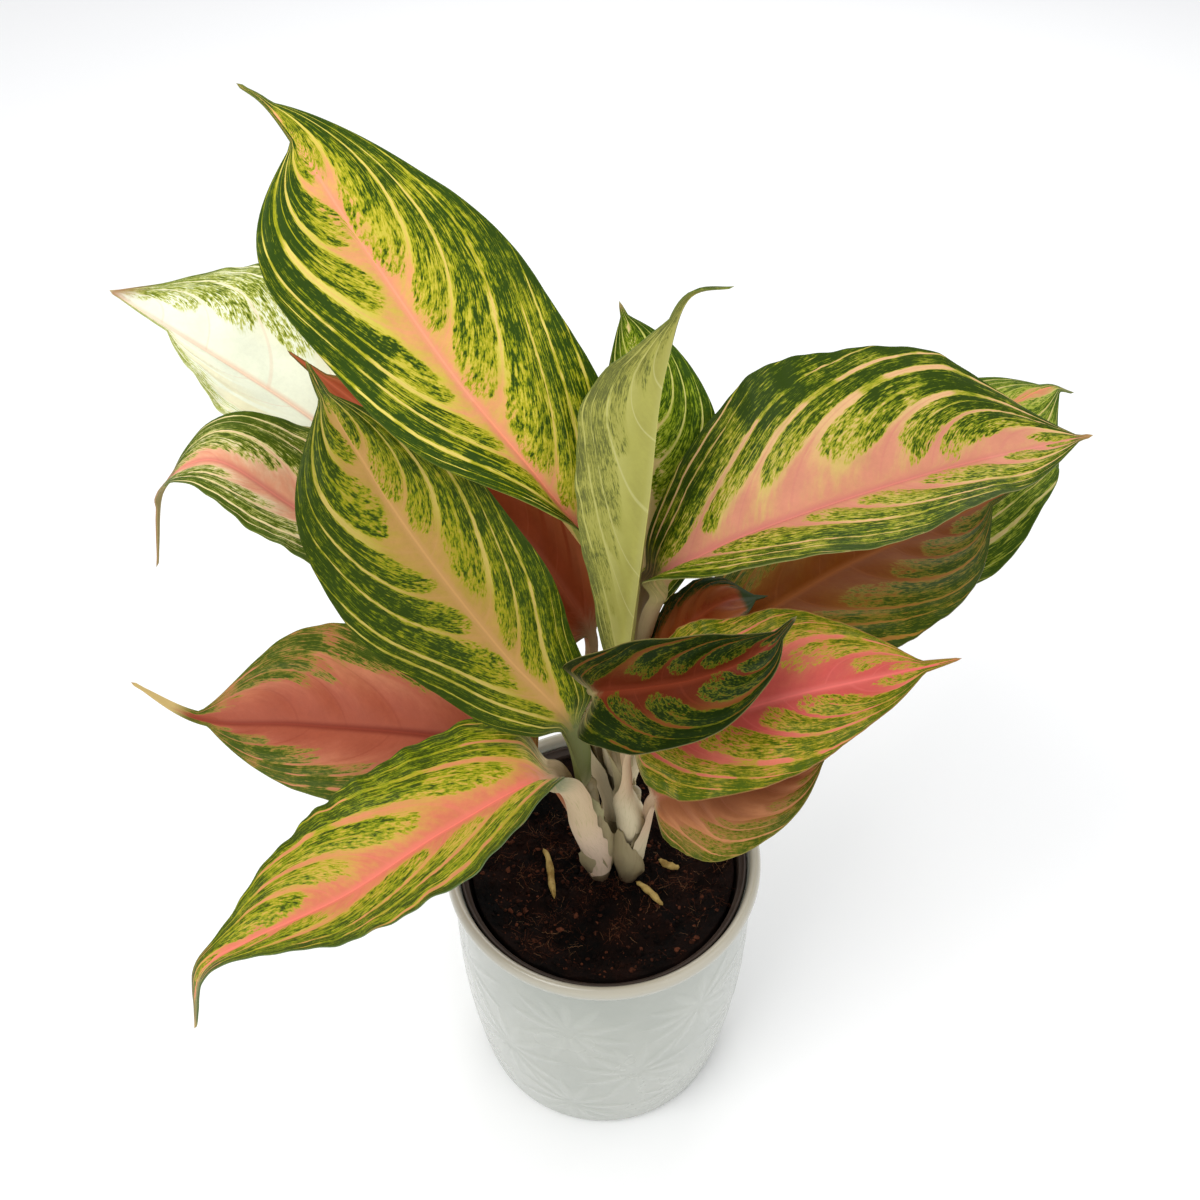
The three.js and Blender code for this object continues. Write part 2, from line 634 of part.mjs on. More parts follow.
function leafPiece(leaf) {
  const bend = leaf.bend ? [vec(leaf.bend)] : [];
  const stalk = [...petioleStart(leaf), ...bend];
  const points = [...stalk, ...leaf.midrib.map(vec)];
  const curve = new THREE.CatmullRomCurve3(points, false, 'centripetal');
  curve.arcLengthDivisions = SPAN_STEPS * (points.length - 1);
  const lengths = curve.getLengths();
  const knee = lengths[SPAN_STEPS * stalk.length] / lengths.at(-1);
  const rings = [];
  for (let k = 0; k < STALK_STEPS; k++) {
    const share = k / STALK_STEPS;
    const frame = frameAt(leaf, curve, knee * share, share - 1);
    const slim = smooth(share, 0, 0.6);
    const width = mix(SHEATH_WIDTH, PETIOLE_WIDTH, slim);
    const depth = mix(SHEATH_DEPTH, PETIOLE_DEPTH, slim);
    rings.push(petioleRing(frame, width, depth));
  }
  for (let k = 0; k < BLADE_STEPS; k++) {
    const share = k / BLADE_STEPS;
    const u = share - (CLOSER_AT_ENDS * Math.sin(2 * Math.PI * share)) / (2 * Math.PI);
    const frame = frameAt(leaf, curve, mix(knee, 1, u), u);
    const round = petioleRing(frame, PETIOLE_WIDTH, PETIOLE_DEPTH);
    const flat = bladeRing(leaf, frame, u);
    const flatness = smooth(u, 0, 0.07);
    rings.push(round.map((point, j) => point.lerp(flat[j], flatness)));
  }
  const geometry = skin(rings, curve.getPoint(0), curve.getPoint(1), flipLeaf);
  return piece(leaf.name, geometry, finish(LEAF_COLOUR[leaf.name], LEAF_SHEEN));
}

// ---------------------------------------------------------------- bits on the soil

function stubPiece(stub) {
  const lift = stub.radius + STUB_LIFT;
  const points = stub.plan.map(([x, y]) => new THREE.Vector3(x, y, soilHeight(x, y) + lift));
  const curve = new THREE.CatmullRomCurve3(points, false, 'centripetal');
  const steps = 6;
  const sides = 8;
  const rings = [];
  for (let k = 0; k <= steps; k++) {
    const share = k / steps;
    const centre = curve.getPoint(share);
    const along = curve.getTangent(share);
    const across = squareTo(new THREE.Vector3(1, 0, 0), along);
    const normal = across.clone().cross(along);
    const radius = stub.radius * (1 - 0.55 * (2 * share - 1) ** 2);
    rings.push(Array.from({ length: sides }, (_, j) => {
      const angle = Math.PI - (j / sides) * 2 * Math.PI;
      return centre.clone()
        .addScaledVector(across, radius * Math.cos(angle))
        .addScaledVector(normal, radius * Math.sin(angle));
    }));
  }
  return piece(stub.name, skin(rings, curve.getPoint(0), curve.getPoint(1), () => false), ROOT);
}

// ---------------------------------------------------------------- assembly

const plant = new THREE.Group();
plant.add(coverPot(), growersPot(), soil());
CANES.forEach((cane) => plant.add(canePiece(cane)));
LEAVES.forEach((leaf, k) => plant.add(leafPiece({ ...leaf, phase: SCALLOP_PHASE * k })));
STUBS.forEach((stub) => plant.add(stubPiece(stub)));

export default plant;
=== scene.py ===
# %% [markdown]
# # A potted chinese evergreen
#
# Sixteen variegated leaves grow from three short canes. They stand in dark peat, in a
# brown grower's pot inside a white glazed cover pot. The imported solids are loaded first
# and stay as the frame: each piece made here lies where a solid lies, and stands for it.

# %% The frame
import math
import random

import bpy
import numpy as np
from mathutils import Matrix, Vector, noise


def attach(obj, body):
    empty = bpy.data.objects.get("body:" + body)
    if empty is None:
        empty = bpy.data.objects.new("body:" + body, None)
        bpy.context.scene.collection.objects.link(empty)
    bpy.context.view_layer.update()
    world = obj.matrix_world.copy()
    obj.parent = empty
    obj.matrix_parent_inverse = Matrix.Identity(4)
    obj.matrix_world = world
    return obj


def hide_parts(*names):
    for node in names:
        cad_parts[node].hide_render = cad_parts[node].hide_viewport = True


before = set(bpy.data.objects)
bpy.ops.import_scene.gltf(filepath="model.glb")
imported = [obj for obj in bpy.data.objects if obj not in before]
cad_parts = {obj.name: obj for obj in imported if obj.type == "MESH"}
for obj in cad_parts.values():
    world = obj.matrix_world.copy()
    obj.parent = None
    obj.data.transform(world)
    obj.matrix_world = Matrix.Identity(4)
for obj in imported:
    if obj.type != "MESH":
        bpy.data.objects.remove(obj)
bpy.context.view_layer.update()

print("solids in the frame:", len(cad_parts))

# %% [markdown]
# ## Camera
#
# The plant is looked at from above and in front, about 44 degrees down, from half a
# metre away. A lens as long as the sensor is wide gives the same angle of view.

# %% Camera
MM = 0.001
scene = bpy.context.scene
LOOK_DOWN = 44.3
EYE = Vector((-1.3, -290.4, 569.9)) * MM
bpy.ops.object.camera_add(location=EYE, rotation=(math.radians(90 - LOOK_DOWN), 0, 0))
camera = bpy.context.object
camera.data.lens = 36
camera.data.sensor_width = 36
scene.camera = camera
scene.view_settings.view_transform = "Standard"
print("camera at", tuple(round(v, 3) for v in camera.location))

# %% [markdown]
# ## Shader sums
#
# A leaf's pattern is a long sum: distances, veins and noise are added, multiplied and
# compared. Written as nodes one by one it would fill pages, so a small class wraps a
# socket and lets Python's own signs add the Math nodes. Paint holds one material and
# adds every other kind of node by one method.

# %% Paint
class Value:
    """A socket of a material that can be used in sums like a number."""

    def __init__(self, paint, socket):
        self.paint = paint
        self.socket = socket

    def calc(self, operation, *numbers):
        inputs = dict(enumerate(numbers))
        return self.paint.node("ShaderNodeMath", {"operation": operation}, inputs)

    def __add__(self, other):
        return self.calc("ADD", self, other)

    def __sub__(self, other):
        return self.calc("SUBTRACT", self, other)

    def __rsub__(self, other):
        return self.calc("SUBTRACT", other, self)

    def __mul__(self, other):
        return self.calc("MULTIPLY", self, other)

    def __abs__(self):
        return self.calc("ABSOLUTE", self)

    __radd__ = __add__
    __rmul__ = __mul__


def colour(code):
    """A screen colour such as #a1b2c3 as the linear colour that a node wants."""
    parts = [int(code[k:k + 2], 16) / 255 for k in (1, 3, 5)]
    return (*[p / 12.92 if p <= 0.04045 else ((p + 0.055) / 1.055) ** 2.4 for p in parts], 1.0)


class Paint:
    """One material. node() adds any node, and the other methods are for the usual ones."""

    def __init__(self, name, constants):
        self.material = bpy.data.materials.new(name)
        self.material.use_nodes = True
        self.tree = self.material.node_tree
        self.shader = self.tree.nodes["Principled BSDF"]
        for socket, number in constants.items():
            self.shader.inputs[socket].default_value = number

    def node(self, kind, settings, inputs, output=0):
        """Sets the node's settings, then its sockets, and gives one of its outputs."""
        made = self.tree.nodes.new(kind)
        for name, setting in settings.items():
            setattr(made, name, setting)
        for key, value in inputs.items():
            if isinstance(value, Value):
                self.tree.links.new(value.socket, made.inputs[key])
            else:
                made.inputs[key].default_value = value
        return Value(self, made.outputs[output])

    def attribute(self, name):
        return self.node("ShaderNodeAttribute", {"attribute_name": name}, {}, "Fac")

    def place(self):
        return self.node("ShaderNodeTexCoord", {}, {}, "Object")

    def height(self, spot):
        return self.node("ShaderNodeSeparateXYZ", {}, {0: spot}, 2)

    def noise(self, vector, scale, detail=2.0, rough=0.5):
        inputs = {"Vector": vector, "Scale": scale, "Detail": detail, "Roughness": rough}
        return self.node("ShaderNodeTexNoise", {}, inputs)

    def draw(self, number):
        """A random number from 0 to 1 for each whole number."""
        return self.node("ShaderNodeTexWhiteNoise", {"noise_dimensions": "1D"}, {"W": number})

    def combine(self, x, y, z):
        return self.node("ShaderNodeCombineXYZ", {}, {0: x, 1: y, 2: z})

    def smooth(self, number, low, high):
        """0 below low, 1 above high, and a soft step between."""
        settings = {"interpolation_type": "SMOOTHSTEP"}
        inputs = {"Value": number, "From Min": low, "From Max": high}
        return self.node("ShaderNodeMapRange", settings, inputs)

    def mix(self, share, first, second):
        inputs = {0: share, 6: first, 7: second}
        return self.node("ShaderNodeMix", {"data_type": "RGBA"}, inputs, 2)

    def shade(self, base, brightness):
        return self.node("ShaderNodeHueSaturation", {}, {"Value": brightness, "Color": base})

    def bump(self, height, strength, distance):
        inputs = {"Height": height, "Strength": strength, "Distance": distance}
        return self.node("ShaderNodeBump", {}, inputs)

    def feed(self, tint=None, rough=None, normal=None):
        """Links what is given to the shader."""
        for socket, value in (("Base Color", tint), ("Roughness", rough), ("Normal", normal)):
            if value:
                self.tree.links.new(value.socket, self.shader.inputs[socket])


print("paint kit ready")

# %% [markdown]
# ## Floor and light
#
# The plant was photographed in an even, soft light. A wide lamp above the left shoulder
# shapes the leaves, a weaker one fills from the right, a third lights the back, and a
# bright room lights the rest. The floor is plain and pale.

# %% Floor and light
FLOOR_SIZE = 9
FLOOR_DROP = 0.0003
AIM = Vector((0, 0, 0.25))


def clear_selection():
    bpy.ops.object.select_all(action="DESELECT")


clear_selection()
bpy.ops.mesh.primitive_plane_add(size=FLOOR_SIZE, location=(0, 0, -FLOOR_DROP))
floor = bpy.context.object
floor.name = "floor"
floor_paint = Paint("pale_floor", {"Base Color": colour("#fbfbfa")})
floor_grain = floor_paint.noise(floor_paint.place(), 40.0)
floor_paint.feed(rough=floor_grain * 0.1 + 0.75)
floor.data.materials.append(floor_paint.material)

world = bpy.data.worlds.new("soft_room")
world.use_nodes = True
sky = world.node_tree.nodes["Background"]
sky.inputs["Color"].default_value = colour("#fbfcff")
sky.inputs["Strength"].default_value = 0.78
scene.world = world


def lamp(name, spot, size, power):
    """A square lamp that faces the middle of the plant."""
    bpy.ops.object.light_add(type="AREA", location=spot)
    light = bpy.context.object
    light.name = name
    light.data.energy = power
    light.data.size = size
    light.rotation_euler = (AIM - Vector(spot)).to_track_quat("-Z", "Y").to_euler()


lamp("key_lamp", (-0.7, -0.55, 1.5), 1.0, 14.0)
lamp("fill_lamp", (1.2, -0.9, 0.9), 1.2, 3.5)
lamp("back_lamp", (0.2, 1.3, 1.1), 1.0, 5.0)

# %% [markdown]
# ## Turned pieces
#
# A pot is thrown or moulded round one axis. The profile is drawn as on paper, one point
# pulled out of the last by extrude, and then spun a full turn. The doubled points on the
# seam and at the axis are merged, and the normals are made to face outwards.

# %% Turned pieces
MERGE_GAP = 0.000004


def finish_skin(piece, sharp=None):
    """Merges doubled points, turns the faces outwards and shades the piece smooth."""
    bpy.ops.object.mode_set(mode="EDIT")
    bpy.ops.mesh.select_all(action="SELECT")
    bpy.ops.mesh.remove_doubles(threshold=MERGE_GAP)
    bpy.ops.mesh.normals_make_consistent(inside=False)
    bpy.ops.object.mode_set(mode="OBJECT")
    if sharp is None:
        bpy.ops.object.shade_smooth()
    else:
        bpy.ops.object.shade_smooth_by_angle(angle=math.radians(sharp))


def turned(name, profile, steps):
    """Spins a profile of [radius, height] points in mm round the upright axis."""
    clear_selection()
    radius, height = profile[0]
    bpy.ops.mesh.primitive_plane_add(size=MM, location=(0, 0, 0))
    piece = bpy.context.object
    piece.name = name
    bpy.ops.object.mode_set(mode="EDIT")
    bpy.ops.mesh.merge(type="CENTER")
    bpy.ops.transform.translate(value=(radius * MM, 0, height * MM))
    for next_radius, next_height in profile[1:]:
        step = ((next_radius - radius) * MM, 0, (next_height - height) * MM)
        bpy.ops.mesh.extrude_region_move(TRANSFORM_OT_translate={"value": step})
        radius, height = next_radius, next_height
    bpy.ops.mesh.select_all(action="SELECT")
    bpy.ops.mesh.spin(steps=steps, angle=math.tau, center=(0, 0, 0), axis=(0, 0, 1))
    bpy.ops.object.mode_set(mode="OBJECT")
    finish_skin(piece)
    return piece


def points_of(piece):
    """The piece's points in mm, as an array."""
    flat = np.empty(3 * len(piece.data.vertices))
    piece.data.vertices.foreach_get("co", flat)
    return flat.reshape(-1, 3) / MM


def place_points(piece, points):
    piece.data.vertices.foreach_set("co", (points * MM).ravel())
    piece.data.update()


def note(piece, name, numbers):
    """Keeps one number at each point, which a material can read."""
    layer = piece.data.attributes.new(name, "FLOAT", "POINT")
    layer.data.foreach_set("value", np.asarray(numbers, float).ravel())


def dress(piece, paint, solid=None):
    """Gives a piece its finish, ties it to the body, and hides the solid it stands for, if given."""
    piece.data.materials.append(paint.material)
    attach(piece, "root")
    if solid:
        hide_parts(solid)


def smoothstep(x, low, high):
    share = np.clip((np.asarray(x, float) - low) / (high - low), 0, 1)
    return share * share * (3 - 2 * share)


def mix(first, second, share):
    return first + (second - first) * share


print("turning kit ready")

# %% [markdown]
# ## Cover pot
#
# The cover pot is cast stoneware with a thick white glaze. Its wall carries a shallow
# pressed pattern of narrow leaves that spread from points. Here the wall is turned from
# many fine rings, and the points between rim and foot are then raised by a formula, as a
# mould would press them. The pattern is a plain one: stars of slim leaves in three
# staggered rows.

# %% Cover pot shape
POT_HEIGHT = 140
POT_FOOT_RADIUS = 58.2
POT_WAIST_RADIUS = 64.3
POT_SHOULDER_RADIUS = 63
POT_RIM_RADIUS = 66.8
POT_MOUTH_RADIUS = 62
POT_RIM_BAND = 11
POT_WALL = 3.4
POT_FLOOR = 7
POT_FOOT_ROUND = 5
POT_CORNER = 4
POT_SHOULDER = POT_HEIGHT - POT_RIM_BAND
POT_FLARE_TOP = POT_SHOULDER + 7
POT_RINGS = 112
POT_STEPS = 448


def body_radius(height):
    """Outer radius of the wall: a parabola through foot, waist and shoulder."""
    middle = POT_SHOULDER / 2
    straight = mix(POT_FOOT_RADIUS, POT_SHOULDER_RADIUS, height / POT_SHOULDER)
    bulge = POT_WAIST_RADIUS - (POT_FOOT_RADIUS + POT_SHOULDER_RADIUS) / 2
    return straight + bulge * (1 - ((height - middle) / middle) ** 2)


def arc(centre, radii, start, end, steps):
    """Points on an ellipse between two angles in degrees."""
    angles = np.radians(np.linspace(start, end, steps))
    return [[centre[0] + radii[0] * math.cos(a), centre[1] + radii[1] * math.sin(a)] for a in angles]


foot_centre = (body_radius(POT_FOOT_ROUND) - POT_FOOT_ROUND, POT_FOOT_ROUND)
pot_profile = [[0, 0], *arc(foot_centre, (POT_FOOT_ROUND, POT_FOOT_ROUND), -90, 0, 8)]
for height in np.linspace(POT_FOOT_ROUND, POT_SHOULDER, POT_RINGS)[1:]:
    pot_profile.append([float(body_radius(height)), float(height)])
for share in np.linspace(0, 1, 9)[1:]:
    flare = float(smoothstep(share, 0, 1)) * 0.45 + 0.55 * share ** 0.6
    height = mix(POT_SHOULDER, POT_FLARE_TOP, share)
    pot_profile.append([mix(POT_SHOULDER_RADIUS, POT_RIM_RADIUS, flare), height])
lip_middle = (POT_RIM_RADIUS + POT_MOUTH_RADIUS) / 2
lip_radii = ((POT_RIM_RADIUS - POT_MOUTH_RADIUS) / 2, POT_HEIGHT - POT_FLARE_TOP)
pot_profile += arc((lip_middle, POT_FLARE_TOP), lip_radii, 0, 180, 13)[1:]
for height in np.linspace(POT_SHOULDER, POT_FLOOR + POT_CORNER, 9):
    inner = min(body_radius(height) - POT_WALL, POT_MOUTH_RADIUS - 1)
    pot_profile.append([float(inner), float(height)])
floor_edge = float(body_radius(POT_FLOOR)) - POT_WALL - POT_CORNER
pot_profile += [[floor_edge, POT_FLOOR], [0, POT_FLOOR]]
cover_pot = turned("glazed_cover_pot", pot_profile, POT_STEPS)
print("cover pot:", len(cover_pot.data.polygons), "faces")

# %% Pressed leaves on the wall
STAR_ROWS = (27, 64, 101)
STARS_IN_ROW = 7
STAR_BLADES = 11
BLADE_REACH = (3.0, 29.0)
BLADE_HALF_WIDTH = 2.9
ROW_TURN = 0.3
WOBBLE = 0.13
CREASE = 0.35
CREASE_WIDTH = 0.5
RELIEF = 0.3
FADE_IN = (5, 12)
FADE_OUT = (117, 125)


def pressed_leaves(angle, height):
    """How far the pattern stands out, from 0 to 1, at places on the wall."""
    girth = math.tau * POT_WAIST_RADIUS
    raised = np.zeros_like(angle)
    for row, middle in enumerate(STAR_ROWS):
        for star in range(STARS_IN_ROW):
            spot = (star + 0.5 * (row % 2)) * girth / STARS_IN_ROW
            across = (angle * POT_WAIST_RADIUS - spot + girth / 2) % girth - girth / 2
            up = height - middle
            for blade in range(STAR_BLADES):
                turn = math.tau * (blade + ROW_TURN * row) / STAR_BLADES
                turn += WOBBLE * math.sin(5 * star + blade)
                along = across * math.cos(turn) + up * math.sin(turn)
                aside = up * math.cos(turn) - across * math.sin(turn)
                share = np.clip((along - BLADE_REACH[0]) / (BLADE_REACH[1] - BLADE_REACH[0]), 0, 1)
                half = BLADE_HALF_WIDTH * np.sin(math.pi * share ** 0.8) + 1e-6
                ridge = np.clip(1 - (aside / half) ** 2, 0, 1) ** 1.2
                crease = CREASE * np.exp(-(aside / CREASE_WIDTH) ** 2) * (ridge > 0)
                raised = np.maximum(raised, ridge - crease)
    return raised


wall = points_of(cover_pot)
wall_radius = np.hypot(wall[:, 0], wall[:, 1])
on_wall = (wall_radius > body_radius(wall[:, 2]) - 0.5) & (wall[:, 2] < POT_SHOULDER)
fade = smoothstep(wall[:, 2], *FADE_IN) * (1 - smoothstep(wall[:, 2], *FADE_OUT)) * on_wall
relief = pressed_leaves(np.arctan2(wall[:, 1], wall[:, 0]), wall[:, 2]) * fade
grow = 1 + relief * RELIEF / np.maximum(wall_radius, 1)
place_points(cover_pot, wall * np.stack([grow, grow, np.ones_like(grow)], axis=1))
note(cover_pot, "relief", relief)
print("pattern covers", round(100 * float((relief > 0.1).sum() / on_wall.sum())), "% of the wall")

# %% [markdown]
# The glaze is a cool off-white that runs thin on raised edges and pools in the hollows,
# so its tint follows the kept relief: the raised leaves are lighter, partly from the thin
# glaze and partly as a painted highlight where they catch the light. It is warmer and
# creamier on the rim, with a few tiny pits. A clear coat gives the wet highlight.

# %% Glaze
RIM_TINT = (0.1335, 0.139)
glaze = Paint("white_glaze", {"Coat Weight": 0.5, "Coat Roughness": 0.08})
spot = glaze.place()
relief_seen = glaze.attribute("relief")
cloud = glaze.noise(spot, 22.0, 4.0, 0.6)
pits = glaze.noise(spot, 900.0, 1.0, 0.3)
body_tint = glaze.mix(glaze.smooth(cloud, 0.35, 0.65), colour("#9da197"), colour("#a6a99f"))
# Raised leaves tinted lighter: partly thinner glaze, partly a painted highlight on the ridges.
body_tint = glaze.mix(glaze.smooth(relief_seen, 0.0, 0.9) * 0.3, body_tint, colour("#b1b4aa"))
rim_share = glaze.smooth(glaze.height(spot), *RIM_TINT)
glaze_tint = glaze.mix(rim_share, body_tint, colour("#b3ad9b"))
glaze_tint = glaze.mix(glaze.smooth(pits, 0.74, 0.8) * 0.12, glaze_tint, colour("#8d8a80"))
waves = glaze.bump(glaze.noise(spot, 160.0, 3.0, 0.55), 0.12, 0.0004)
glaze.feed(glaze_tint, cloud * 0.12 + 0.2, waves)
dress(cover_pot, glaze, "cover_pot")
print("glazed:", cover_pot.name)

# %% [markdown]
# ## Grower's pot
#
# The plant was sold in a thin brown plastic pot with a rolled lip, and only the lip
# shows, as a brown line inside the white rim. It is turned like the cover pot, and its
# drain holes are cut by a Boolean with five short rods.

# %% Grower's pot
INNER_FOOT = 7.3
INNER_HEIGHT = 128
INNER_TOP = INNER_FOOT + INNER_HEIGHT
INNER_FOOT_RADIUS = 43
INNER_TOP_RADIUS = 59.2
INNER_LIP = 1.7
INNER_LIP_HEIGHT = 4
INNER_LIP_FLARE = 1.1
INNER_LIP_ROUND = 0.6
INNER_WALL = 1.2
INNER_STEPS = 160
DRAIN_RADIUS = 4
DRAIN_CIRCLE = 28
DRAIN_COUNT = 5
DRAIN_ROD = 5


def inner_radius(height):
    return mix(INNER_FOOT_RADIUS, INNER_TOP_RADIUS, (height - INNER_FOOT) / INNER_HEIGHT)


lip_foot = INNER_TOP - INNER_LIP_HEIGHT
lip_edge = INNER_TOP_RADIUS + INNER_LIP
lip_centre = (lip_edge - INNER_LIP_ROUND, INNER_TOP - INNER_LIP_ROUND)
inner_floor = INNER_FOOT + INNER_WALL
inner_profile = [[0, INNER_FOOT], [INNER_FOOT_RADIUS - 1, INNER_FOOT]]
inner_profile += [[INNER_FOOT_RADIUS, INNER_FOOT + 1], [inner_radius(lip_foot), lip_foot]]
inner_profile += [[lip_edge - INNER_LIP_FLARE, lip_foot + 0.4], [lip_edge - 0.3, INNER_TOP - 1.8]]
inner_profile += arc(lip_centre, (INNER_LIP_ROUND, INNER_LIP_ROUND), 0, 180, 7)
inner_profile += [[lip_edge - 1.5, INNER_TOP - 1.6], [INNER_TOP_RADIUS - INNER_WALL, INNER_TOP - 3]]
inner_profile += [[inner_radius(inner_floor) - INNER_WALL, inner_floor], [0, inner_floor]]
growers_pot = turned("growers_pot_shell", inner_profile, INNER_STEPS)
for drain in range(DRAIN_COUNT):
    turn = math.tau * drain / DRAIN_COUNT
    hole = (DRAIN_CIRCLE * MM * math.cos(turn), DRAIN_CIRCLE * MM * math.sin(turn), INNER_FOOT * MM)
    clear_selection()
    bpy.ops.mesh.primitive_cylinder_add(
        vertices=32, radius=DRAIN_RADIUS * MM, depth=DRAIN_ROD * MM, location=hole
    )
    rod = bpy.context.object
    cut = growers_pot.modifiers.new("drain", "BOOLEAN")
    cut.operation = "DIFFERENCE"
    cut.solver = "EXACT"
    cut.object = rod
    bpy.context.view_layer.objects.active = growers_pot
    bpy.ops.object.modifier_apply(modifier=cut.name)
    bpy.data.objects.remove(rod)
clear_selection()
growers_pot.select_set(True)
bpy.ops.object.shade_smooth_by_angle(angle=math.radians(35))

plastic = Paint("brown_pot_plastic", {"Specular IOR Level": 0.4})
spot = plastic.place()
scuff = plastic.noise(spot, 120.0, 4.0, 0.6)
plastic_tint = plastic.mix(scuff, colour("#2a201a"), colour("#44362c"))
plastic.feed(plastic_tint, scuff * 0.3 + 0.35, plastic.bump(plastic.noise(spot, 700.0), 0.15, 0.0002))
dress(growers_pot, plastic, "growers_pot")
print("grower's pot:", len(growers_pot.data.polygons), "faces")

# %% [markdown]
# ## Peat
#
# The potting soil is dark peat: a low mound of matted crumbs with darker hollows. The
# body is turned, and the points on its top are lifted by the mound's formula and by
# layers of noise, from lumps as big as a fingertip down to single crumbs.

# %% Peat body
SOIL_TOP = 124
SOIL_MOUND = 2.5
SOIL_LUMP = 0.9
SOIL_BANK = 7
SOIL_GAP = 0.7
SOIL_LIFT = 0.3
SOIL_RINGS = 84
SOIL_STEPS = 300
SOIL_EDGE = inner_radius(SOIL_TOP) - INNER_WALL - SOIL_GAP


def soil_height(x, y):
    """Height of the low mound and its lumps, as in the solid."""
    edge = inner_radius(SOIL_TOP)
    mound = SOIL_MOUND * (1 - (x * x + y * y) / (edge * edge))
    bank = SOIL_BANK * float(smoothstep(math.hypot(x, y) / edge, 0.72, 1))
    lumps = math.sin(0.31 * x + 1) * math.cos(0.27 * y) + 0.6 * math.sin(0.17 * x - 0.38 * y)
    return SOIL_TOP + mound + bank + SOIL_LUMP * lumps


def crumbled(x, y):
    """The mound with the roughness of crumbs on it."""
    spot = Vector((x, y, 0))
    coarse = noise.fractal(spot * 0.16, 1.0, 2.2, 3)
    fine = noise.fractal(spot * 0.7 + Vector((40, 7, 3)), 0.9, 2.1, 3)
    return soil_height(x, y) + 1.1 * coarse + 0.65 * fine


soil_foot = inner_floor + SOIL_LIFT
soil_profile = [[0, soil_foot], [inner_radius(soil_foot) - INNER_WALL - SOIL_GAP, soil_foot]]
soil_profile += [[SOIL_EDGE - 0.4, SOIL_TOP - 3]]
for share in np.linspace(1, 0, SOIL_RINGS):
    soil_profile.append([SOIL_EDGE * float(share), SOIL_TOP + 1])
peat_body = turned("peat_mound", soil_profile, SOIL_STEPS)
soil_points = points_of(peat_body)
on_top = soil_points[:, 2] > SOIL_TOP
for index in np.nonzero(on_top)[0]:
    x, y, _ = soil_points[index]
    soil_points[index, 2] = crumbled(x, y)
place_points(peat_body, soil_points)
print("peat rises from", round(float(soil_points[on_top, 2].min()), 1), "to",
      round(float(soil_points[on_top, 2].max()), 1), "mm")

# %% [markdown]
# Loose crumbs and fibres lie on the mat. Five crumbs are shaped from an icosphere by a
# random push of their points, and four fibres from a slim bent rod. Each is then copied
# hundreds of times with a seeded draw of place, size and turn, and joined into one piece.
# Each copy keeps a tone of its own, which the peat's colour reads.

# %% Crumbs and fibres
TUFTS = 60
TUFT_SPREAD = 2.4
EDGE_GAP = 0.97
SCATTER_TO = 0.95
MOSTLY_SMALL = 2.5


def crumb_shape(seed):
    """One crumb, about a millimetre across: a pushed and flattened icosphere."""
    clear_selection()
    bpy.ops.mesh.primitive_ico_sphere_add(subdivisions=2, radius=0.5 * MM, location=(0, 0, 0))
    crumb = bpy.context.object
    bpy.ops.object.mode_set(mode="EDIT")
    bpy.ops.transform.vertex_random(offset=0.26 * MM, seed=seed)
    bpy.ops.transform.resize(value=(1.25, 0.9, 0.7))
    bpy.ops.object.mode_set(mode="OBJECT")
    return crumb


def fibre_shape(seed):
    """One fibre, about ten millimetres long: a slim rod with a bend and ragged ends."""
    draw = random.Random(seed)
    clear_selection()
    bpy.ops.mesh.primitive_cylinder_add(vertices=5, radius=0.1 * MM, depth=MM, location=(0, 0, 0))
    fibre = bpy.context.object
    bpy.ops.object.mode_set(mode="EDIT")
    bpy.ops.mesh.select_all(action="SELECT")
    bpy.ops.transform.rotate(value=math.pi / 2, orient_axis="Y", center_override=(0, 0, 0))
    bpy.ops.mesh.select_all(action="DESELECT")
    bpy.ops.object.mode_set(mode="OBJECT")
    for face in fibre.data.polygons:
        face.select = face.normal.x > 0.9
    bpy.ops.object.mode_set(mode="EDIT")
    bpy.ops.mesh.select_mode(type="FACE")
    for _ in range(7):
        step = (1.1 * MM, draw.uniform(-0.8, 0.8) * MM, draw.uniform(-0.3, 0.5) * MM)
        bpy.ops.mesh.extrude_region_move(TRANSFORM_OT_translate={"value": step})
    bpy.ops.transform.resize(value=(0.3, 0.3, 0.3))
    bpy.ops.object.mode_set(mode="OBJECT")
    return fibre


def scatter(name, shapes, count, seed, sizes, lift, in_tufts):
    """Copies of the shapes on the peat, each turned and sized at random, as one piece."""
    draw = random.Random(seed)

    def spot_on_peat():
        radius = SOIL_EDGE * math.sqrt(draw.random()) * SCATTER_TO
        turn = draw.uniform(0, math.tau)
        return radius * math.cos(turn), radius * math.sin(turn)

    tufts = [spot_on_peat() for _ in range(TUFTS)]
    copies = []
    while len(copies) < count:
        x, y = spot_on_peat()
        if draw.random() < in_tufts:
            middle = draw.choice(tufts)
            x, y = middle[0] + draw.gauss(0, TUFT_SPREAD), middle[1] + draw.gauss(0, TUFT_SPREAD)
        if math.hypot(x, y) > SOIL_EDGE * EDGE_GAP:
            continue
        copy = draw.choice(shapes).copy()
        copy.data = copy.data.copy()
        bpy.context.collection.objects.link(copy)
        size = mix(sizes[0], sizes[1], draw.random() ** MOSTLY_SMALL)
        copy.scale = (size, size, size * draw.uniform(0.7, 1.1))
        tilt = draw.uniform(-0.5, 0.5), draw.uniform(-0.5, 0.5)
        copy.rotation_euler = (*tilt, draw.uniform(0, math.tau))
        copy.location = Vector((x, y, crumbled(x, y) + lift * size)) * MM
        note(copy, "tone", np.full(len(copy.data.vertices), draw.random()))
        copies.append(copy)
    for shape in shapes:
        bpy.data.objects.remove(shape)
    clear_selection()
    for copy in copies:
        copy.select_set(True)
    bpy.context.view_layer.objects.active = copies[0]
    bpy.ops.object.join()
    piece = bpy.context.object
    piece.name = name
    bpy.ops.object.transform_apply(location=True, rotation=True, scale=True)
    return piece


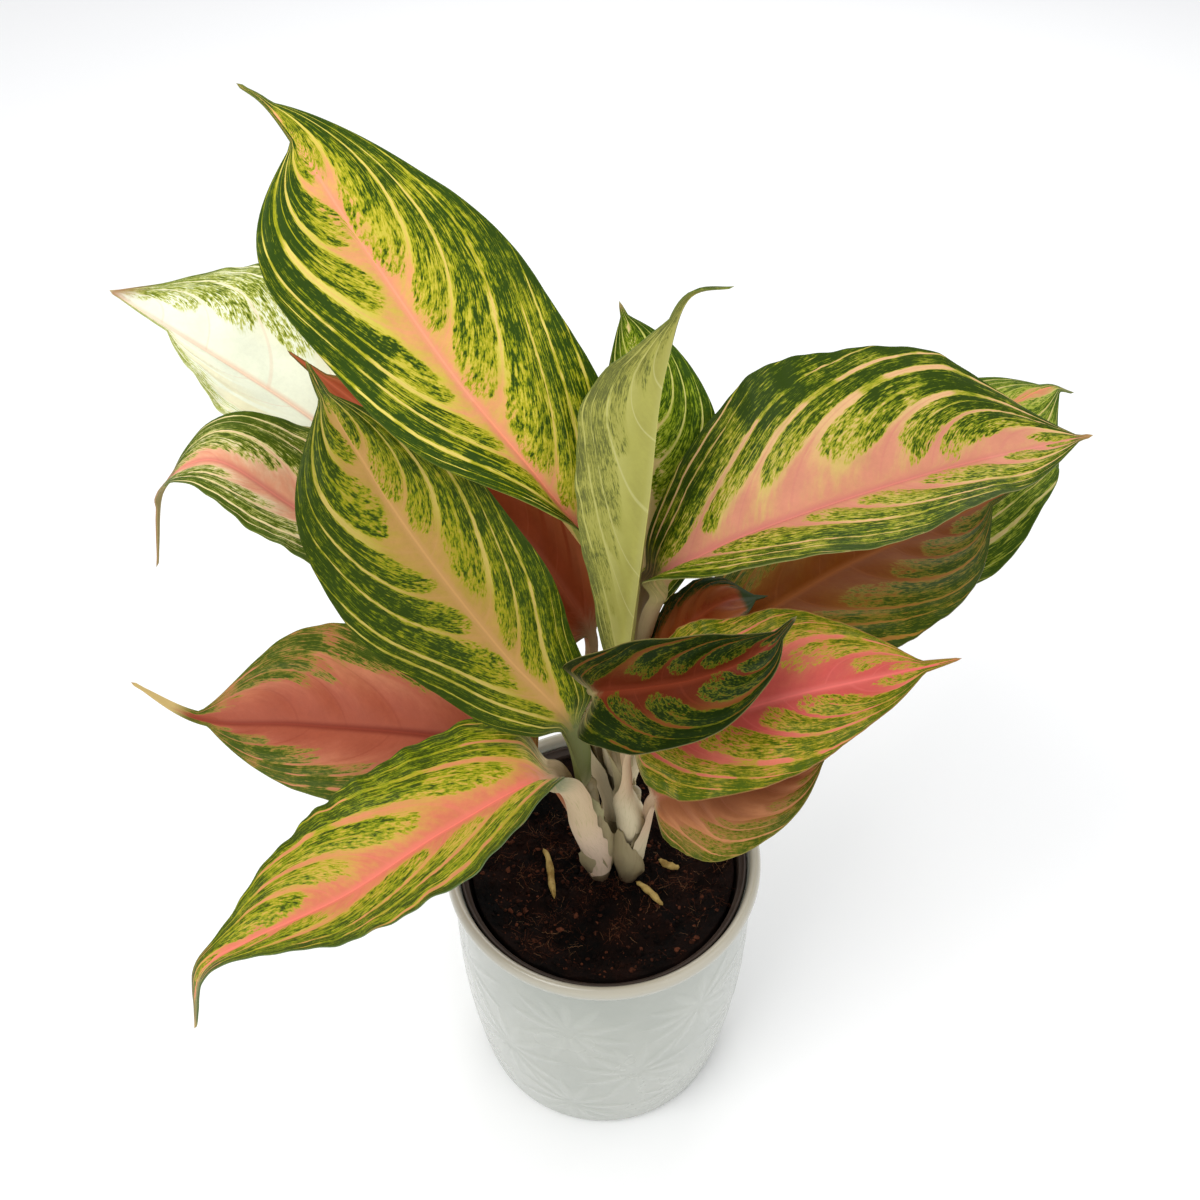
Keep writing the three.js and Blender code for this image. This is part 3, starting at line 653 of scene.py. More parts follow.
crumb_shapes = [crumb_shape(seed) for seed in range(5)]
crumbs = scatter(
    "peat_crumbs", crumb_shapes, count=2200, seed=11, sizes=(0.5, 2.2), lift=0.12, in_tufts=0.3
)
fibre_shapes = [fibre_shape(seed) for seed in range(4)]
fibres = scatter(
    "peat_fibres", fibre_shapes, count=2200, seed=12, sizes=(0.22, 0.8), lift=0.5, in_tufts=0.8
)
note(peat_body, "tone", np.full(len(peat_body.data.vertices), 0.25))
print("crumbs:", len(crumbs.data.polygons), "faces; fibres:", len(fibres.data.polygons), "faces")

# %% [markdown]
# Peat is nearly black in its hollows and red-brown on dry crumbs. Fibres are paler, from
# rust to straw.

# %% Peat finish
def peat_paint(name, dark, middle, pale):
    paint = Paint(name, {"Specular IOR Level": 0.12, "Roughness": 0.95})
    spot = paint.place()
    patches = paint.noise(spot, 55.0, 4.0, 0.65)
    grain = paint.noise(spot, 900.0, 3.0, 0.7)
    tone = paint.attribute("tone")
    shown = paint.mix(paint.smooth(patches + tone * 0.35, 0.42, 0.95), colour(dark), colour(middle))
    shown = paint.mix(paint.smooth(tone + grain * 0.5, 0.95, 1.35), shown, colour(pale))
    paint.feed(paint.shade(shown, grain * 0.9 + 0.55), normal=paint.bump(grain, 0.7, 0.0006))
    return paint


peat_finish = peat_paint("dark_peat", "#040302", "#24110a", "#643825")
fibre_finish = peat_paint("peat_fibre", "#2e150c", "#653824", "#8d6a4a")
dress(peat_body, peat_finish, "soil")
dress(crumbs, peat_finish)
dress(fibres, fibre_finish)
print("peat finished")

# %% [markdown]
# ## Lofted pieces
#
# Leaves, petioles and canes have no axis to turn round. Each is a skin over rings of
# points along a spine. A grid is added as the cloth, its rows are drawn onto the rings,
# and the doubled points at the seam and at both ends are merged into a closed skin. The
# form of a leaf is then exact, which it wouldn't be with faces pushed about by hand.

# %% Spine
class Spine:
    """A smooth curve through points, centripetal as the solids' own, read by its length."""

    def __init__(self, points):
        points = np.array(points, float)
        self.points = np.vstack([2 * points[0] - points[1], points, 2 * points[-1] - points[-2]])
        self.spans = len(points) - 1
        self.steps = 60
        self.grid = np.linspace(0, self.spans, self.spans * self.steps + 1)
        gaps = np.linalg.norm(np.diff(self.at(self.grid), axis=0), axis=1)
        self.lengths = np.concatenate([[0], np.cumsum(gaps)])

    def at(self, times, slope=False):
        """Points, or directions, at times that count the spans."""
        span = np.clip(np.floor(times).astype(int), 0, self.spans - 1)
        t = (times - span)[:, None]
        before, start, end, after = (self.points[span + k] for k in range(4))
        gap0, gap1, gap2 = (
            np.linalg.norm(b - a, axis=1)[:, None] ** 0.5
            for a, b in ((before, start), (start, end), (end, after))
        )
        pull1 = (start - before) / gap0 - (end - before) / (gap0 + gap1) + (end - start) / gap1
        pull2 = (end - start) / gap1 - (after - start) / (gap1 + gap2) + (after - end) / gap2
        pull1, pull2 = pull1 * gap1, pull2 * gap1
        square = -3 * start + 3 * end - 2 * pull1 - pull2
        cube = 2 * start - 2 * end + pull1 + pull2
        if slope:
            return pull1 + 2 * square * t + 3 * cube * t * t
        return start + pull1 * t + square * t * t + cube * t ** 3

    def share_at(self, point):
        """The share of the length at one of the curve's own points."""
        return self.lengths[point * self.steps] / self.lengths[-1]

    def read(self, shares):
        """Points and unit directions at shares of the length."""
        times = np.interp(shares * self.lengths[-1], self.lengths, self.grid)
        along = unit(self.at(times, slope=True))
        return self.at(times), along


def unit(vectors):
    return vectors / np.linalg.norm(vectors, axis=-1, keepdims=True)


def square_to(vectors, along):
    """The part of each vector that is square to along, at unit length."""
    return unit(vectors - np.sum(vectors * along, axis=-1, keepdims=True) * along)


def lofted(name, rings, notes, sharp, ends=None):
    """A closed skin over rings of points in mm, drawn to a point at each end that is given."""
    if ends is not None:
        first, last = (np.tile(point, (1, rings.shape[1], 1)) for point in ends)
        rings = np.concatenate([first, rings, last])
        notes = {key: np.concatenate([n[:1], n, n[-1:]]) for key, n in notes.items()}
    rows, columns = rings.shape[:2]
    clear_selection()
    bpy.ops.mesh.primitive_grid_add(
        x_subdivisions=columns - 1, y_subdivisions=rows - 1, size=1, location=(0, 0, 0)
    )
    piece = bpy.context.object
    piece.name = name
    spots = points_of(piece) * MM
    column = np.rint((spots[:, 0] + 0.5) * (columns - 1)).astype(int)
    row = np.rint((spots[:, 1] + 0.5) * (rows - 1)).astype(int)
    place_points(piece, rings[row, column])
    for key, numbers in notes.items():
        note(piece, key, numbers[row, column])
    finish_skin(piece, sharp)
    return piece


print("lofting kit ready")

# %% [markdown]
# ## Canes
#
# The stems are short and fleshy, cream below where the light doesn't reach them, with a
# ring at each old leaf scar. The lower part is wrapped in the dry remains of old sheaths.
# Their cream is laid on darker, as painted shade under the leaves, and it turns dark
# brown towards the peat, as painted shade at the foot of the clump.

# %% Canes
CANE_BEND = SOIL_TOP + 6
CANE_FOOT = SOIL_TOP - 24
CANES = [
    {"foot": (5, 5), "top": (7, 3, 238), "radii": (5, 3.6)},
    {"foot": (-1.5, -4), "top": (-6, -9, 200), "radii": (4.5, 3.2)},
    {"foot": (10.5, -4.5), "top": (11.5, -6, 190), "radii": (4.3, 3.2)},
]
SCAR_EVERY = 13.0
SCAR_HEIGHT = 0.22
FOOT_SHADE = (0.152, 0.134)
CANE_ROWS = 150
CANE_COLUMNS = 41


def cane_axis(cane, height):
    """Middle and radius of a cane at heights: upright in the soil, then leaning."""
    height = np.asarray(height, float)
    share = np.maximum(0, (height - CANE_BEND) / (cane["top"][2] - CANE_BEND))
    lean = (share + smoothstep(share, 0, 1)) / 2
    x = mix(cane["foot"][0], cane["top"][0], lean)
    y = mix(cane["foot"][1], cane["top"][1], lean)
    return np.stack([x, y, height], axis=-1), mix(cane["radii"][0], cane["radii"][1], share)


def cane_piece(number, cane):
    heights = np.linspace(CANE_FOOT, cane["top"][2], CANE_ROWS)
    middles, radii = cane_axis(cane, heights)
    scar = np.exp(-(((heights + 5 * number) % SCAR_EVERY - 6) / 0.7) ** 2)
    waist = 1 - 0.2 * (1 - smoothstep(heights, SOIL_TOP + 2, SOIL_TOP + 16))
    radii = radii * waist * (1 - 0.04 * np.cos(heights * 0.48 + number)) + SCAR_HEIGHT * scar
    ends = np.sqrt(np.clip((heights[-1] - heights) / 2.5, 0, 1))
    radii = radii * np.maximum(ends, 0.02)
    turns = np.linspace(0, math.tau, CANE_COLUMNS)
    ridges = 1 + 0.025 * np.sin(3 * turns + number) + 0.012 * np.sin(8 * turns)
    circle = np.stack([np.cos(turns) * ridges, np.sin(turns) * ridges, 0 * turns], axis=-1)
    rings = middles[:, None, :] + radii[:, None, None] * circle[None]
    return lofted(f"fleshy_cane_{number + 1}", rings, {}, None, (middles[0], middles[-1]))


cane_paint = Paint("cream_cane", {"Specular IOR Level": 0.4})
spot = cane_paint.place()
cloud = cane_paint.noise(spot, 90.0, 4.0, 0.6)
stretched = cane_paint.node("ShaderNodeMapping", {}, {"Vector": spot, "Scale": (1.0, 1.0, 0.12)})
streaks = cane_paint.noise(stretched, 900.0, 3.0, 0.6)
# Painted shade: the cream flesh tints are laid on darker, for the dim light under the leaves.
flesh = cane_paint.mix(cloud, colour("#ab9a78"), colour("#968c66"))
flesh = cane_paint.mix(cane_paint.smooth(streaks, 0.5, 0.75) * 0.4, flesh, colour("#7d6747"))
# Painted shade: dark brown towards the peat, at the foot of the clump.
foot_shade = cane_paint.smooth(cane_paint.height(spot) + cloud * 0.02, *FOOT_SHADE)
flesh = cane_paint.mix(foot_shade, flesh, colour("#4a3524"))
cane_paint.feed(flesh, cloud * 0.2 + 0.35, cane_paint.bump(streaks, 0.25, 0.0003))
for number, cane in enumerate(CANES):
    dress(cane_piece(number, cane), cane_paint, f"cane_{number + 1}")
print("canes:", len(CANES))

# %% [markdown]
# Where the stems leave the peat they are wrapped in old sheaths, whose leaves are long
# gone. Each one is a thin cream scale that clasps its cane, widens upwards and ends in a
# torn edge. It is lofted as a curved sheet that thins out to nothing at both ends.

# %% Old sheaths
WRAPS = [
    dict(cane=1, bearing=222, high=176, spread=3.2, wrap=100),
    dict(cane=1, bearing=296, high=180, spread=4.4, wrap=115, low=-2),
    dict(cane=1, bearing=150, high=170, spread=3.0, wrap=90),
    dict(cane=2, bearing=238, high=168, spread=4.0, wrap=115, low=-2),
    dict(cane=2, bearing=325, high=178, spread=3.0, wrap=100),
    dict(cane=0, bearing=85, high=176, spread=3.0, wrap=115),
]
WRAP_WALL = 0.8
WRAP_SUNK = 0.6
SHARP_EDGE = 50


def wrap_piece(number, wrap):
    across = np.linspace(-1, 1, 33)[None]
    rise = np.linspace(0, 1, 30)[:, None]
    torn = 1 - 0.55 * np.abs(across) ** 1.4 + 0.05 * np.sin(6 * across + number)
    torn = torn + 0.02 * np.sin(23 * across)
    heights = mix(SOIL_TOP + wrap.get("low", 6), wrap["high"], rise * torn)
    middles, radii = cane_axis(CANES[wrap["cane"]], heights)
    radii = radii - WRAP_SUNK + wrap["spread"] * smoothstep(rise, 0, 0.7) + 1.2 * rise ** 3 * across ** 2
    turns = np.radians(wrap["bearing"] + wrap["wrap"] * across * (1 - 0.3 * rise))
    facing = np.stack([np.cos(turns), np.sin(turns), 0 * turns], axis=-1)
    wall = WRAP_WALL * np.minimum(1, 10 * np.minimum(rise, 1 - rise)) * (1 - 0.6 * across ** 2)
    outer = middles + radii[..., None] * facing
    inner = outer - wall[..., None] * facing
    rings = np.concatenate([outer, inner[:, ::-1], outer[:, :1]], axis=1)
    return lofted(f"old_sheath_{number + 1}", rings, {}, SHARP_EDGE)


for number, wrap in enumerate(WRAPS):
    dress(wrap_piece(number, wrap), cane_paint)
print("old sheaths:", len(WRAPS))

# %% [markdown]
# ## Leaf shapes
#
# A leaf is one piece from the cane to its tip. Its stalk starts as a broad sheath that
# wraps the cane, narrows into a channelled petiole, and runs on as the midrib. The blade
# is two halves, each an arc raised from the midrib, with an outline of a belly, a base
# and a drawn-out tip. The table repeats the solids' own numbers in mm, so each leaf lies
# where its solid lies. Only the wings of three petioles, and the base of the sixth leaf,
# which runs down its petiole, go a few mm further.
#
# Height and bearing say where the sheath clasps its cane, midrib is the path of the leaf
# from there to its tip, and across points over the blade, from its base to its tip. Fold
# is the angle in degrees at which a half rises from the midrib, curl how far it bends on
# the way out, and cup how much both grow at the base. Wave and waves are the swell of the
# margin. Belly is the place of the widest point, as a share of the length, base and full
# say how round the outline is behind and before it, draw and tail how it runs into the
# tip, and scallop how uneven it is. A number given once holds for both halves, and a pair
# is the left half and the right.

# %% Leaf table
LEAF_ROWS = [
    dict(cane=0, height=224, bearing=122,
         midrib=[(-1, 14, 290), (-19, 17, 321), (-46, 23, 360), (-70, 30, 401), (-92, 40, 436),
                 (-101.5, 45.5, 441)], across=[(0.8, 0.5, 0.3), (0.8, 0.42, 0.43), (0.8, 0.4, 0.5)],
         width=(29, 38), curl=-14, belly=(0.66, 0.48), base=(1.6, 0.7), full=(5, 2.2),
         tail=(0.12, 0.06), tail_width=0.045, cup=(100, 15), scallop=(0.02, 0.01)),
    dict(cane=0, height=170, bearing=125,
         midrib=[(-38, 32, 280), (-74, 50, 296), (-110, 65, 319), (-149, 78, 341), (-174, 88, 353)],
         across=[(0.4, 0.9, -0.1)], width=(28, 46), fold=(18, 30), belly=(0.58, 0.6), full=(2.2, 4),
         tail=(0.15, 0.01)),
    dict(cane=0, height=160, bearing=180,
         midrib=[(-40, 8, 277), (-69, 10, 294), (-102, 18, 311), (-128, 22, 329), (-147, 23, 317),
                 (-157, 19, 284)], across=[(0.2, 1, 0.1)], width=(20, 35), fold=(16, 22), wave=1.4,
         tail=(0.16, 0.25)),
    dict(cane=1, height=165, bearing=235,
         midrib=[(-11, -22, 245), (-34, -12, 273), (-64, 2, 318), (-88, 24, 353), (-95, 36, 358)],
         across=[(0.78, 0.42, 0.46)], width=(33, 30), belly=(0.6, 0.5), base=(0.7, 0.62), wing=1.5),
    dict(cane=1, height=145, bearing=160,
         midrib=[(-24, -10, 208), (-50, -5, 217), (-114, 0, 221), (-153, 3, 221), (-176, 8, 236)],
         across=[(0, 1, 0.3)], width=(32, 42), fold=12, belly=(0.42, 0.57), tail=(0.2, 0.17)),
    dict(cane=1, height=133, bearing=240, bend=(-11, -20, 180),
         midrib=[(-17, -27, 225), (-54, -50, 225), (-88, -70, 215), (-118, -83, 209), (-135, -88, 199),
                 (-143, -95, 170)], across=[(-0.55, 0.81, -0.17)], width=36, fold=23, curl=(-8, -12),
         belly=(0.38, 0.28), base=(1.15, 0.35), full=(2.2, 4), draw=2.4, tail=0.18, tail_width=0.13,
         cup=(10, 0), lobe=9, sheath_to=(0.5, 1.1), wing=4),
    dict(cane=0, height=238, bearing=0, on_top=True,
         midrib=[(7, -3, 252), (14, 4, 325), (18, 14, 367), (25, 22, 389), (38, 24, 391)],
         across=[(-0.4, -0.9, 0.2)], width=(20, 23), fold=60, curl=20, wave=0.8, waves=2,
         belly=(0.72, 0.74), base=(0.9, 0.85), full=1.6, tail=0.14, tail_width=0.12),
    dict(cane=0, height=197, bearing=78, bend=(12, 14.5, 228),
         midrib=[(12, 20, 262), (16, 34, 300), (14, 50, 335), (5, 62, 364)], across=[(1, 0, 0.2)],
         width=(17, 24), fold=16, wave=1, belly=0.5, draw=0.95, tail=0.05),
    dict(cane=0, height=218, bearing=12,
         midrib=[(16, 8, 284), (36, 6, 304), (63, 5, 320), (113, 15, 332), (157, 22, 339)],
         across=[(0.2, -1, -0.2)], width=(51, 31), fold=28, curl=-12, wave=1.6, belly=(0.48, 0.46),
         base=(1, 0.62), cup=(0, 40), tail=0.03, tail_width=0.03, scallop=(0.01, 0.025), wing=4),
    dict(cane=0, height=176, bearing=43,
         midrib=[(66, 42, 255), (117, 70, 262), (154, 95, 295), (174, 102, 303), (185, 104, 299)],
         across=[(0.6, -0.8, -0.1)], width=(36, 42), belly=0.5, full=(2.2, 3), tail=(0.1, 0.06)),
    dict(cane=0, height=170, bearing=342,
         midrib=[(34, 10, 255), (55, 15, 264), (88, 28, 277), (120, 38, 287), (148, 48, 296)],
         across=[(0.4, -0.9, 0)], width=(34, 42), fold=12, belly=0.5, full=(2.2, 2.4), tail=(0.1, 0.08)),
    dict(cane=2, height=165, bearing=170, bend=(3, -8, 227),
         midrib=[(-4, -22.5, 264), (-0.5, -25, 268), (15, -31, 277.5), (30.5, -35.5, 287),
                 (47.5, -34.5, 296.5), (59.5, -29, 308)], across=[(0.3, -0.7, -0.7)], width=(21, 24),
         fold=30, curl=20, wave=0.8, waves=2, belly=0.4, base=0.35, lobe=6),
    dict(cane=2, height=158, bearing=278, bend=(9, -15, 202),
         midrib=[(10, -22, 238), (44, -35, 270), (62, -35, 278), (95, -34, 288), (113, -32, 292)],
         across=[(0.3, -0.9, -0.4)], width=(32, 27), fold=12, wave=1.8, waves=4, belly=(0.4, 0.36),
         base=0.5, lobe=6),
    dict(cane=2, height=136, bearing=352,
         midrib=[(19, -17, 197), (34, -29, 221), (49, -35, 232), (70, -35, 243), (82, -31, 248)],
         across=[(0.3, -0.9, -0.4)], width=26, fold=12, base=(0.5, 0.55), lobe=5),
    dict(cane=0, height=190, bearing=182, bend=(-5.5, 3, 236),
         midrib=[(-4.6, 7.6, 261), (-13, 11, 278), (-30, 20, 300), (-70, 43, 323), (-108, 62, 345)],
         across=[(0.6, 0.8, 0.1)], width=(27, 28), base=0.5, wave=1),
    dict(cane=0, height=203, bearing=305, bend=(19, -5, 236),
         midrib=[(19.4, -3.4, 257.6), (29, 3, 270), (42, 9, 277), (58, 13, 276)], across=[(0.2, -1, 0)],
         width=(15, 19), curl=-10, wave=0.6, waves=2),
]
USUAL = dict(bend=None, on_top=False, fold=14, curl=-16, wave=1.2, waves=3, lobe=3, belly=0.42, base=0.62,
             cup=0, full=2.2, draw=1.05, tail=0.1, tail_width=0.07, scallop=0.025, sheath_to=(0.15, 0.75),
             wing=0)
HALVES = (
    "width", "fold", "curl", "belly", "base", "cup", "full", "tail", "scallop",
    "start", "cover", "ramp", "rim",
)


def in_halves(leaf):
    """A number that is given once holds for the left and the right half alike."""
    for name in HALVES:
        if name in leaf and not isinstance(leaf[name], tuple):
            leaf[name] = (leaf[name], leaf[name])
    return leaf


PHASE_STEP = 1.7
LEAVES = [{**in_halves({**USUAL, **row}), "phase": PHASE_STEP * n} for n, row in enumerate(LEAF_ROWS)]
print("leaves:", len(LEAVES))

# %% [markdown]
# The side veins leave the midrib at about 45 degrees, bend towards the tip and run on
# beside the margin. One number says which vein a point lies on: it is whole on a vein
# and a half between two. The shape uses it for the troughs and swells of the blade, and
# the finish uses it again for the pale lines and the green between them.

# %% Leaf shape
GAP = 0.3
BLADE_THICKNESS = 0.55
RIB_DEPTH = 2.6
RIB_WIDTH = 1.9
PETIOLE_RADIUS = 2.5
SHEATH_DEPTH = 3.4
SHEATH_WRAP = 98.0
OPEN_WRAP = 115.0
CHANNEL_EDGE = 0.424
CHANNEL_DEPTH = 0.48
LOBE_SHARE = 0.3
HALF_COLUMNS = 24
STALK_ROWS = 44
ROW_EVERY = 1.35
ROW_EASE = 1.25
COLUMN_EASE = 0.35
FLAT_FROM = 0.07


def outline(leaf, half, u):
    """Half width of one half of the blade, as a share of its widest."""
    belly, base, full, tail = (leaf[name][half] for name in ("belly", "base", "full", "tail"))
    share = np.minimum(1, u / (1 - tail))
    rest = leaf["tail_width"] * smoothstep(u, 0.3, 1 - tail) * np.minimum(1, (1 - u) / tail) ** 0.7
    rising = (1 - np.clip(1 - share / belly, 0, 1) ** 2) ** base
    falling = (1 - np.clip((share - belly) / (1 - belly), 0, 1) ** full) ** leaf["draw"]
    scallop = 1 + leaf["scallop"][half] * np.sin(math.tau * 3 * u + 0.6 + leaf["phase"] + 2.2 * half)
    return np.maximum(np.where(share < belly, rising, falling) * scallop + rest, 0.02)


def vein_number(leaf, half, u, reach):
    """Whole on a side vein, and a half between two."""
    swept = u - 0.1 * reach - 0.42 * reach ** 2.5
    even = swept * leaf["veins"] + leaf["shift"][half]
    return even + 0.17 * np.sin(2.3 * even + leaf["seed"] + 2 * half)


def stalk_section(leaf, share, shares):
    """Offsets across and up of a stalk's two faces: a sheath that becomes a channel."""
    _, cane_radius = cane_axis(CANES[leaf["cane"]], leaf["height"])
    sheath = (1 - smoothstep(share, *leaf["sheath_to"]))[:, None] * (0 if leaf["on_top"] else 1)
    begun = smoothstep(share, 0, 0.12)[:, None]
    lift = float(cane_radius) + GAP + SHEATH_DEPTH / 2
    slim = (PETIOLE_RADIUS + leaf["wing"] * smoothstep(share, 0.35, 1))[:, None]
    radius = mix(slim, float(cane_radius) + 1.0 + 1.2 * begun, sheath)
    middle = mix(0.0, lift, sheath)
    ragged = 1 + 0.05 * np.sin(37 * share + leaf["seed"])[:, None] * sheath
    wrap = np.radians(mix(OPEN_WRAP, SHEATH_WRAP, sheath)) * ragged
    side = shares[None, :]
    turn = wrap * side
    outer = radius * np.sin(turn), middle - radius * np.cos(turn)
    wall = 0.35 + (0.3 + 0.8 * begun) * (1 - side ** 2)
    inside = (radius - wall) * np.sin(turn), middle - (radius - wall) * np.cos(turn)
    across = slim * math.sin(math.radians(OPEN_WRAP)) * np.sin(side * math.pi / 2)
    channel = across, slim * (CHANNEL_EDGE - CHANNEL_DEPTH * (1 - side ** 2))
    upper = tuple(mix(c, i, sheath) for c, i in zip(channel, inside))
    return upper, outer


def blade_section(leaf, u, shares):
    """Offsets across, up and back of the upper face, the way it faces, and distances."""
    left = shares[None, :] < 0
    reach = np.abs(shares)[None, :]
    side = np.where(left, -1.0, 1.0)
    rest = (1 - u)[:, None]

    def each(name):
        return np.where(left, leaf[name][0], leaf[name][1]).astype(float)

    size = np.where(left, *(outline(leaf, half, u)[:, None] for half in (0, 1)))
    cup = each("cup") * rest ** 4
    fold = np.radians(each("fold") * np.minimum(1, 4 * rest) + cup)
    curl = np.radians(each("curl") + 0.5 * cup)
    curl = np.where(np.abs(curl) < 1e-3, 1e-3, curl)
    angle = fold + curl * reach
    span = each("width") * size
    out = span / curl * (np.sin(angle) - np.sin(fold))
    up = span / curl * (np.cos(fold) - np.cos(angle))
    half = np.where(left, 0.0, 1.0)
    turn = math.tau * leaf["waves"] * u[:, None] + half * 1.7
    up = up + leaf["wave"] * size * reach ** 2 * np.sin(turn)
    small = np.sin(2.7 * turn + leaf["seed"]) + 0.6 * np.sin(6.1 * turn + 2 * leaf["seed"])
    up = up + leaf["frill"] * size * reach ** 4 * small
    back = leaf["lobe"] * (1 - smoothstep(u, 0, LOBE_SHARE))[:, None] * reach ** 0.8
    vein = np.where(left, *(vein_number(leaf, half, u[:, None], reach) for half in (0, 1)))
    near_vein = vein - np.rint(vein)
    body = smoothstep(reach, 0.03, 0.2) * (1 - 0.8 * smoothstep(reach, 0.5, 0.97))
    body = body * smoothstep(span, 4, 14) * leaf["quilt"]
    quilt = body * (0.32 * np.cos(math.tau * vein) + 0.3 * np.exp(-(near_vein / 0.07) ** 2))
    from_rib = span * reach
    groove = 0.3 * rest ** 0.8 * np.exp(-(from_rib / 1.3) ** 2)
    return {
        "across": side * out, "up": up, "back": back, "tilt": side * angle, "dent": quilt + groove,
        "rib": RIB_DEPTH * rest ** 1.5 * np.exp(-(from_rib / RIB_WIDTH) ** 2),
        "vein": vein, "reach": from_rib, "edge": span * (1 - reach),
    }


print("leaf formulas ready")

# %% [markdown]
# The rings of the stalk and of the blade are joined into one skin. Over the first part
# of the blade one turns into the other, so the petiole flattens into the midrib.

# %% Leaf pieces
def spine_of(leaf):
    """The leaf's spine, and how many of its points belong to the stalk."""
    cane = CANES[leaf["cane"]]
    if leaf["on_top"]:
        top = np.array(cane["top"], float)
        stalk = [top + (0, 0, GAP), top + (0, 0, 10)]
    else:
        bearing = math.radians(leaf["bearing"])
        stalk = []
        for rise, away in ((0, 0), (14, 0.8)):
            middle, radius = cane_axis(cane, leaf["height"] + rise)
            reach = radius + GAP + SHEATH_DEPTH / 2 + away
            stalk.append(middle + reach * np.array([math.cos(bearing), math.sin(bearing), 0]))
    if leaf["bend"]:
        stalk.append(np.array(leaf["bend"], float))
    return Spine([*stalk, *np.array(leaf["midrib"], float)]), len(stalk)


def directions(leaf, spine, places, u):
    """Middle, along, across and normal of the rings."""
    centre, along = spine.read(places)
    bearing = math.radians(leaf["bearing"])
    foot_across = np.array([math.sin(bearing), -math.cos(bearing), 0])
    vectors = np.array(leaf["across"], float)
    stops = np.linspace(0, 1, len(vectors)) if len(vectors) > 1 else [0]
    steps = [np.interp(np.maximum(0, u), stops, vectors[:, axis]) for axis in range(3)]
    blade_across = unit(np.stack(steps, axis=-1))
    turn = np.ones_like(u) if leaf["on_top"] else smoothstep(u, -1, 0)
    across = square_to(mix(foot_across[None], blade_across, turn[:, None]), along)
    return centre, along, across, np.cross(across, along)


def leaf_rings(leaf):
    """The rings of a leaf, the numbers its finish needs at each point, and its two ends."""
    spine, stalk_points = spine_of(leaf)
    knee = spine.share_at(stalk_points)
    stalk = np.arange(STALK_ROWS) / STALK_ROWS
    blade_rows = int(spine.lengths[-1] * (1 - knee) / ROW_EVERY)
    blade = (np.arange(blade_rows) / blade_rows) ** ROW_EASE
    u = np.concatenate([stalk - 1, blade])
    places = np.concatenate([stalk * knee, mix(knee, 1, blade)])
    centre, along, across, normal = (a[:, None, :] for a in directions(leaf, spine, places, u))
    even = np.linspace(-1, 1, 2 * HALF_COLUMNS + 1)
    shares = np.sin(even * math.pi / 2) * COLUMN_EASE + even * (1 - COLUMN_EASE)
    (up_across, up_up), (low_across, low_up) = stalk_section(leaf, np.minimum(u + 1, 1), shares)
    flat = blade_section(leaf, np.maximum(u, 0), shares)
    flatness = smoothstep(u, 0, FLAT_FROM)[:, None, None]

    def laid(out, up, back=0.0):
        back = np.zeros_like(out) + back
        return centre + across * out[..., None] + normal * up[..., None] - along * back[..., None]

    facing = -across * np.sin(flat["tilt"])[..., None] + normal * np.cos(flat["tilt"])[..., None]
    top = laid(flat["across"], flat["up"], flat["back"]) - facing * flat["dent"][..., None]
    under = top - facing * (BLADE_THICKNESS + flat["rib"])[..., None]
    top = mix(laid(up_across, up_up), top, flatness)
    under = mix(laid(low_across, low_up), under, flatness)
    rings = np.concatenate([top, under[:, ::-1], top[:, :1]], axis=1)

    def round_ring(numbers):
        return np.concatenate([numbers, numbers[:, ::-1], numbers[:, :1]], axis=1)

    full = np.ones((len(u), len(shares)))
    notes = {
        "along": round_ring(full * u[:, None]),
        "side": round_ring(full * shares[None]),
        "vein": round_ring(flat["vein"]),
        "reach": round_ring(flat["reach"]),
        "edge": round_ring(np.where(u[:, None] < 0, 9.0, flat["edge"])),
        "under": np.concatenate([0 * full, full, 0 * full[:, :1]], axis=1),
    }
    return rings, notes, spine.at(np.array([0.0, spine.spans]))


print("ring builder ready")

# %% [markdown]
# ## Leaf finish
#
# All sixteen leaves share one pattern and differ in their colours and in how far the
# green has broken up. Next to the midrib the blade is pink or cream. Pale flames run
# outwards along the side veins. Between them lie islands of green, round at their inner
# end, lime at first and nearly black-green towards the margin, and their edges dissolve
# into specks. Speckle comes from fine noise, and the streaks from a noise that is drawn
# out along the veins.
#
# Start says how far out from the midrib the green begins, ramp how soon it closes up,
# cover how dense it gets, rim how much of it follows the margin, depth how much turns
# dark, and patchy how far it comes and goes in blots. Heart_to and blush are the reach of
# the pink across and along the blade, flames how far it runs out beside the veins, and
# halo the lime round each island. Veins and shift count and place the side veins.

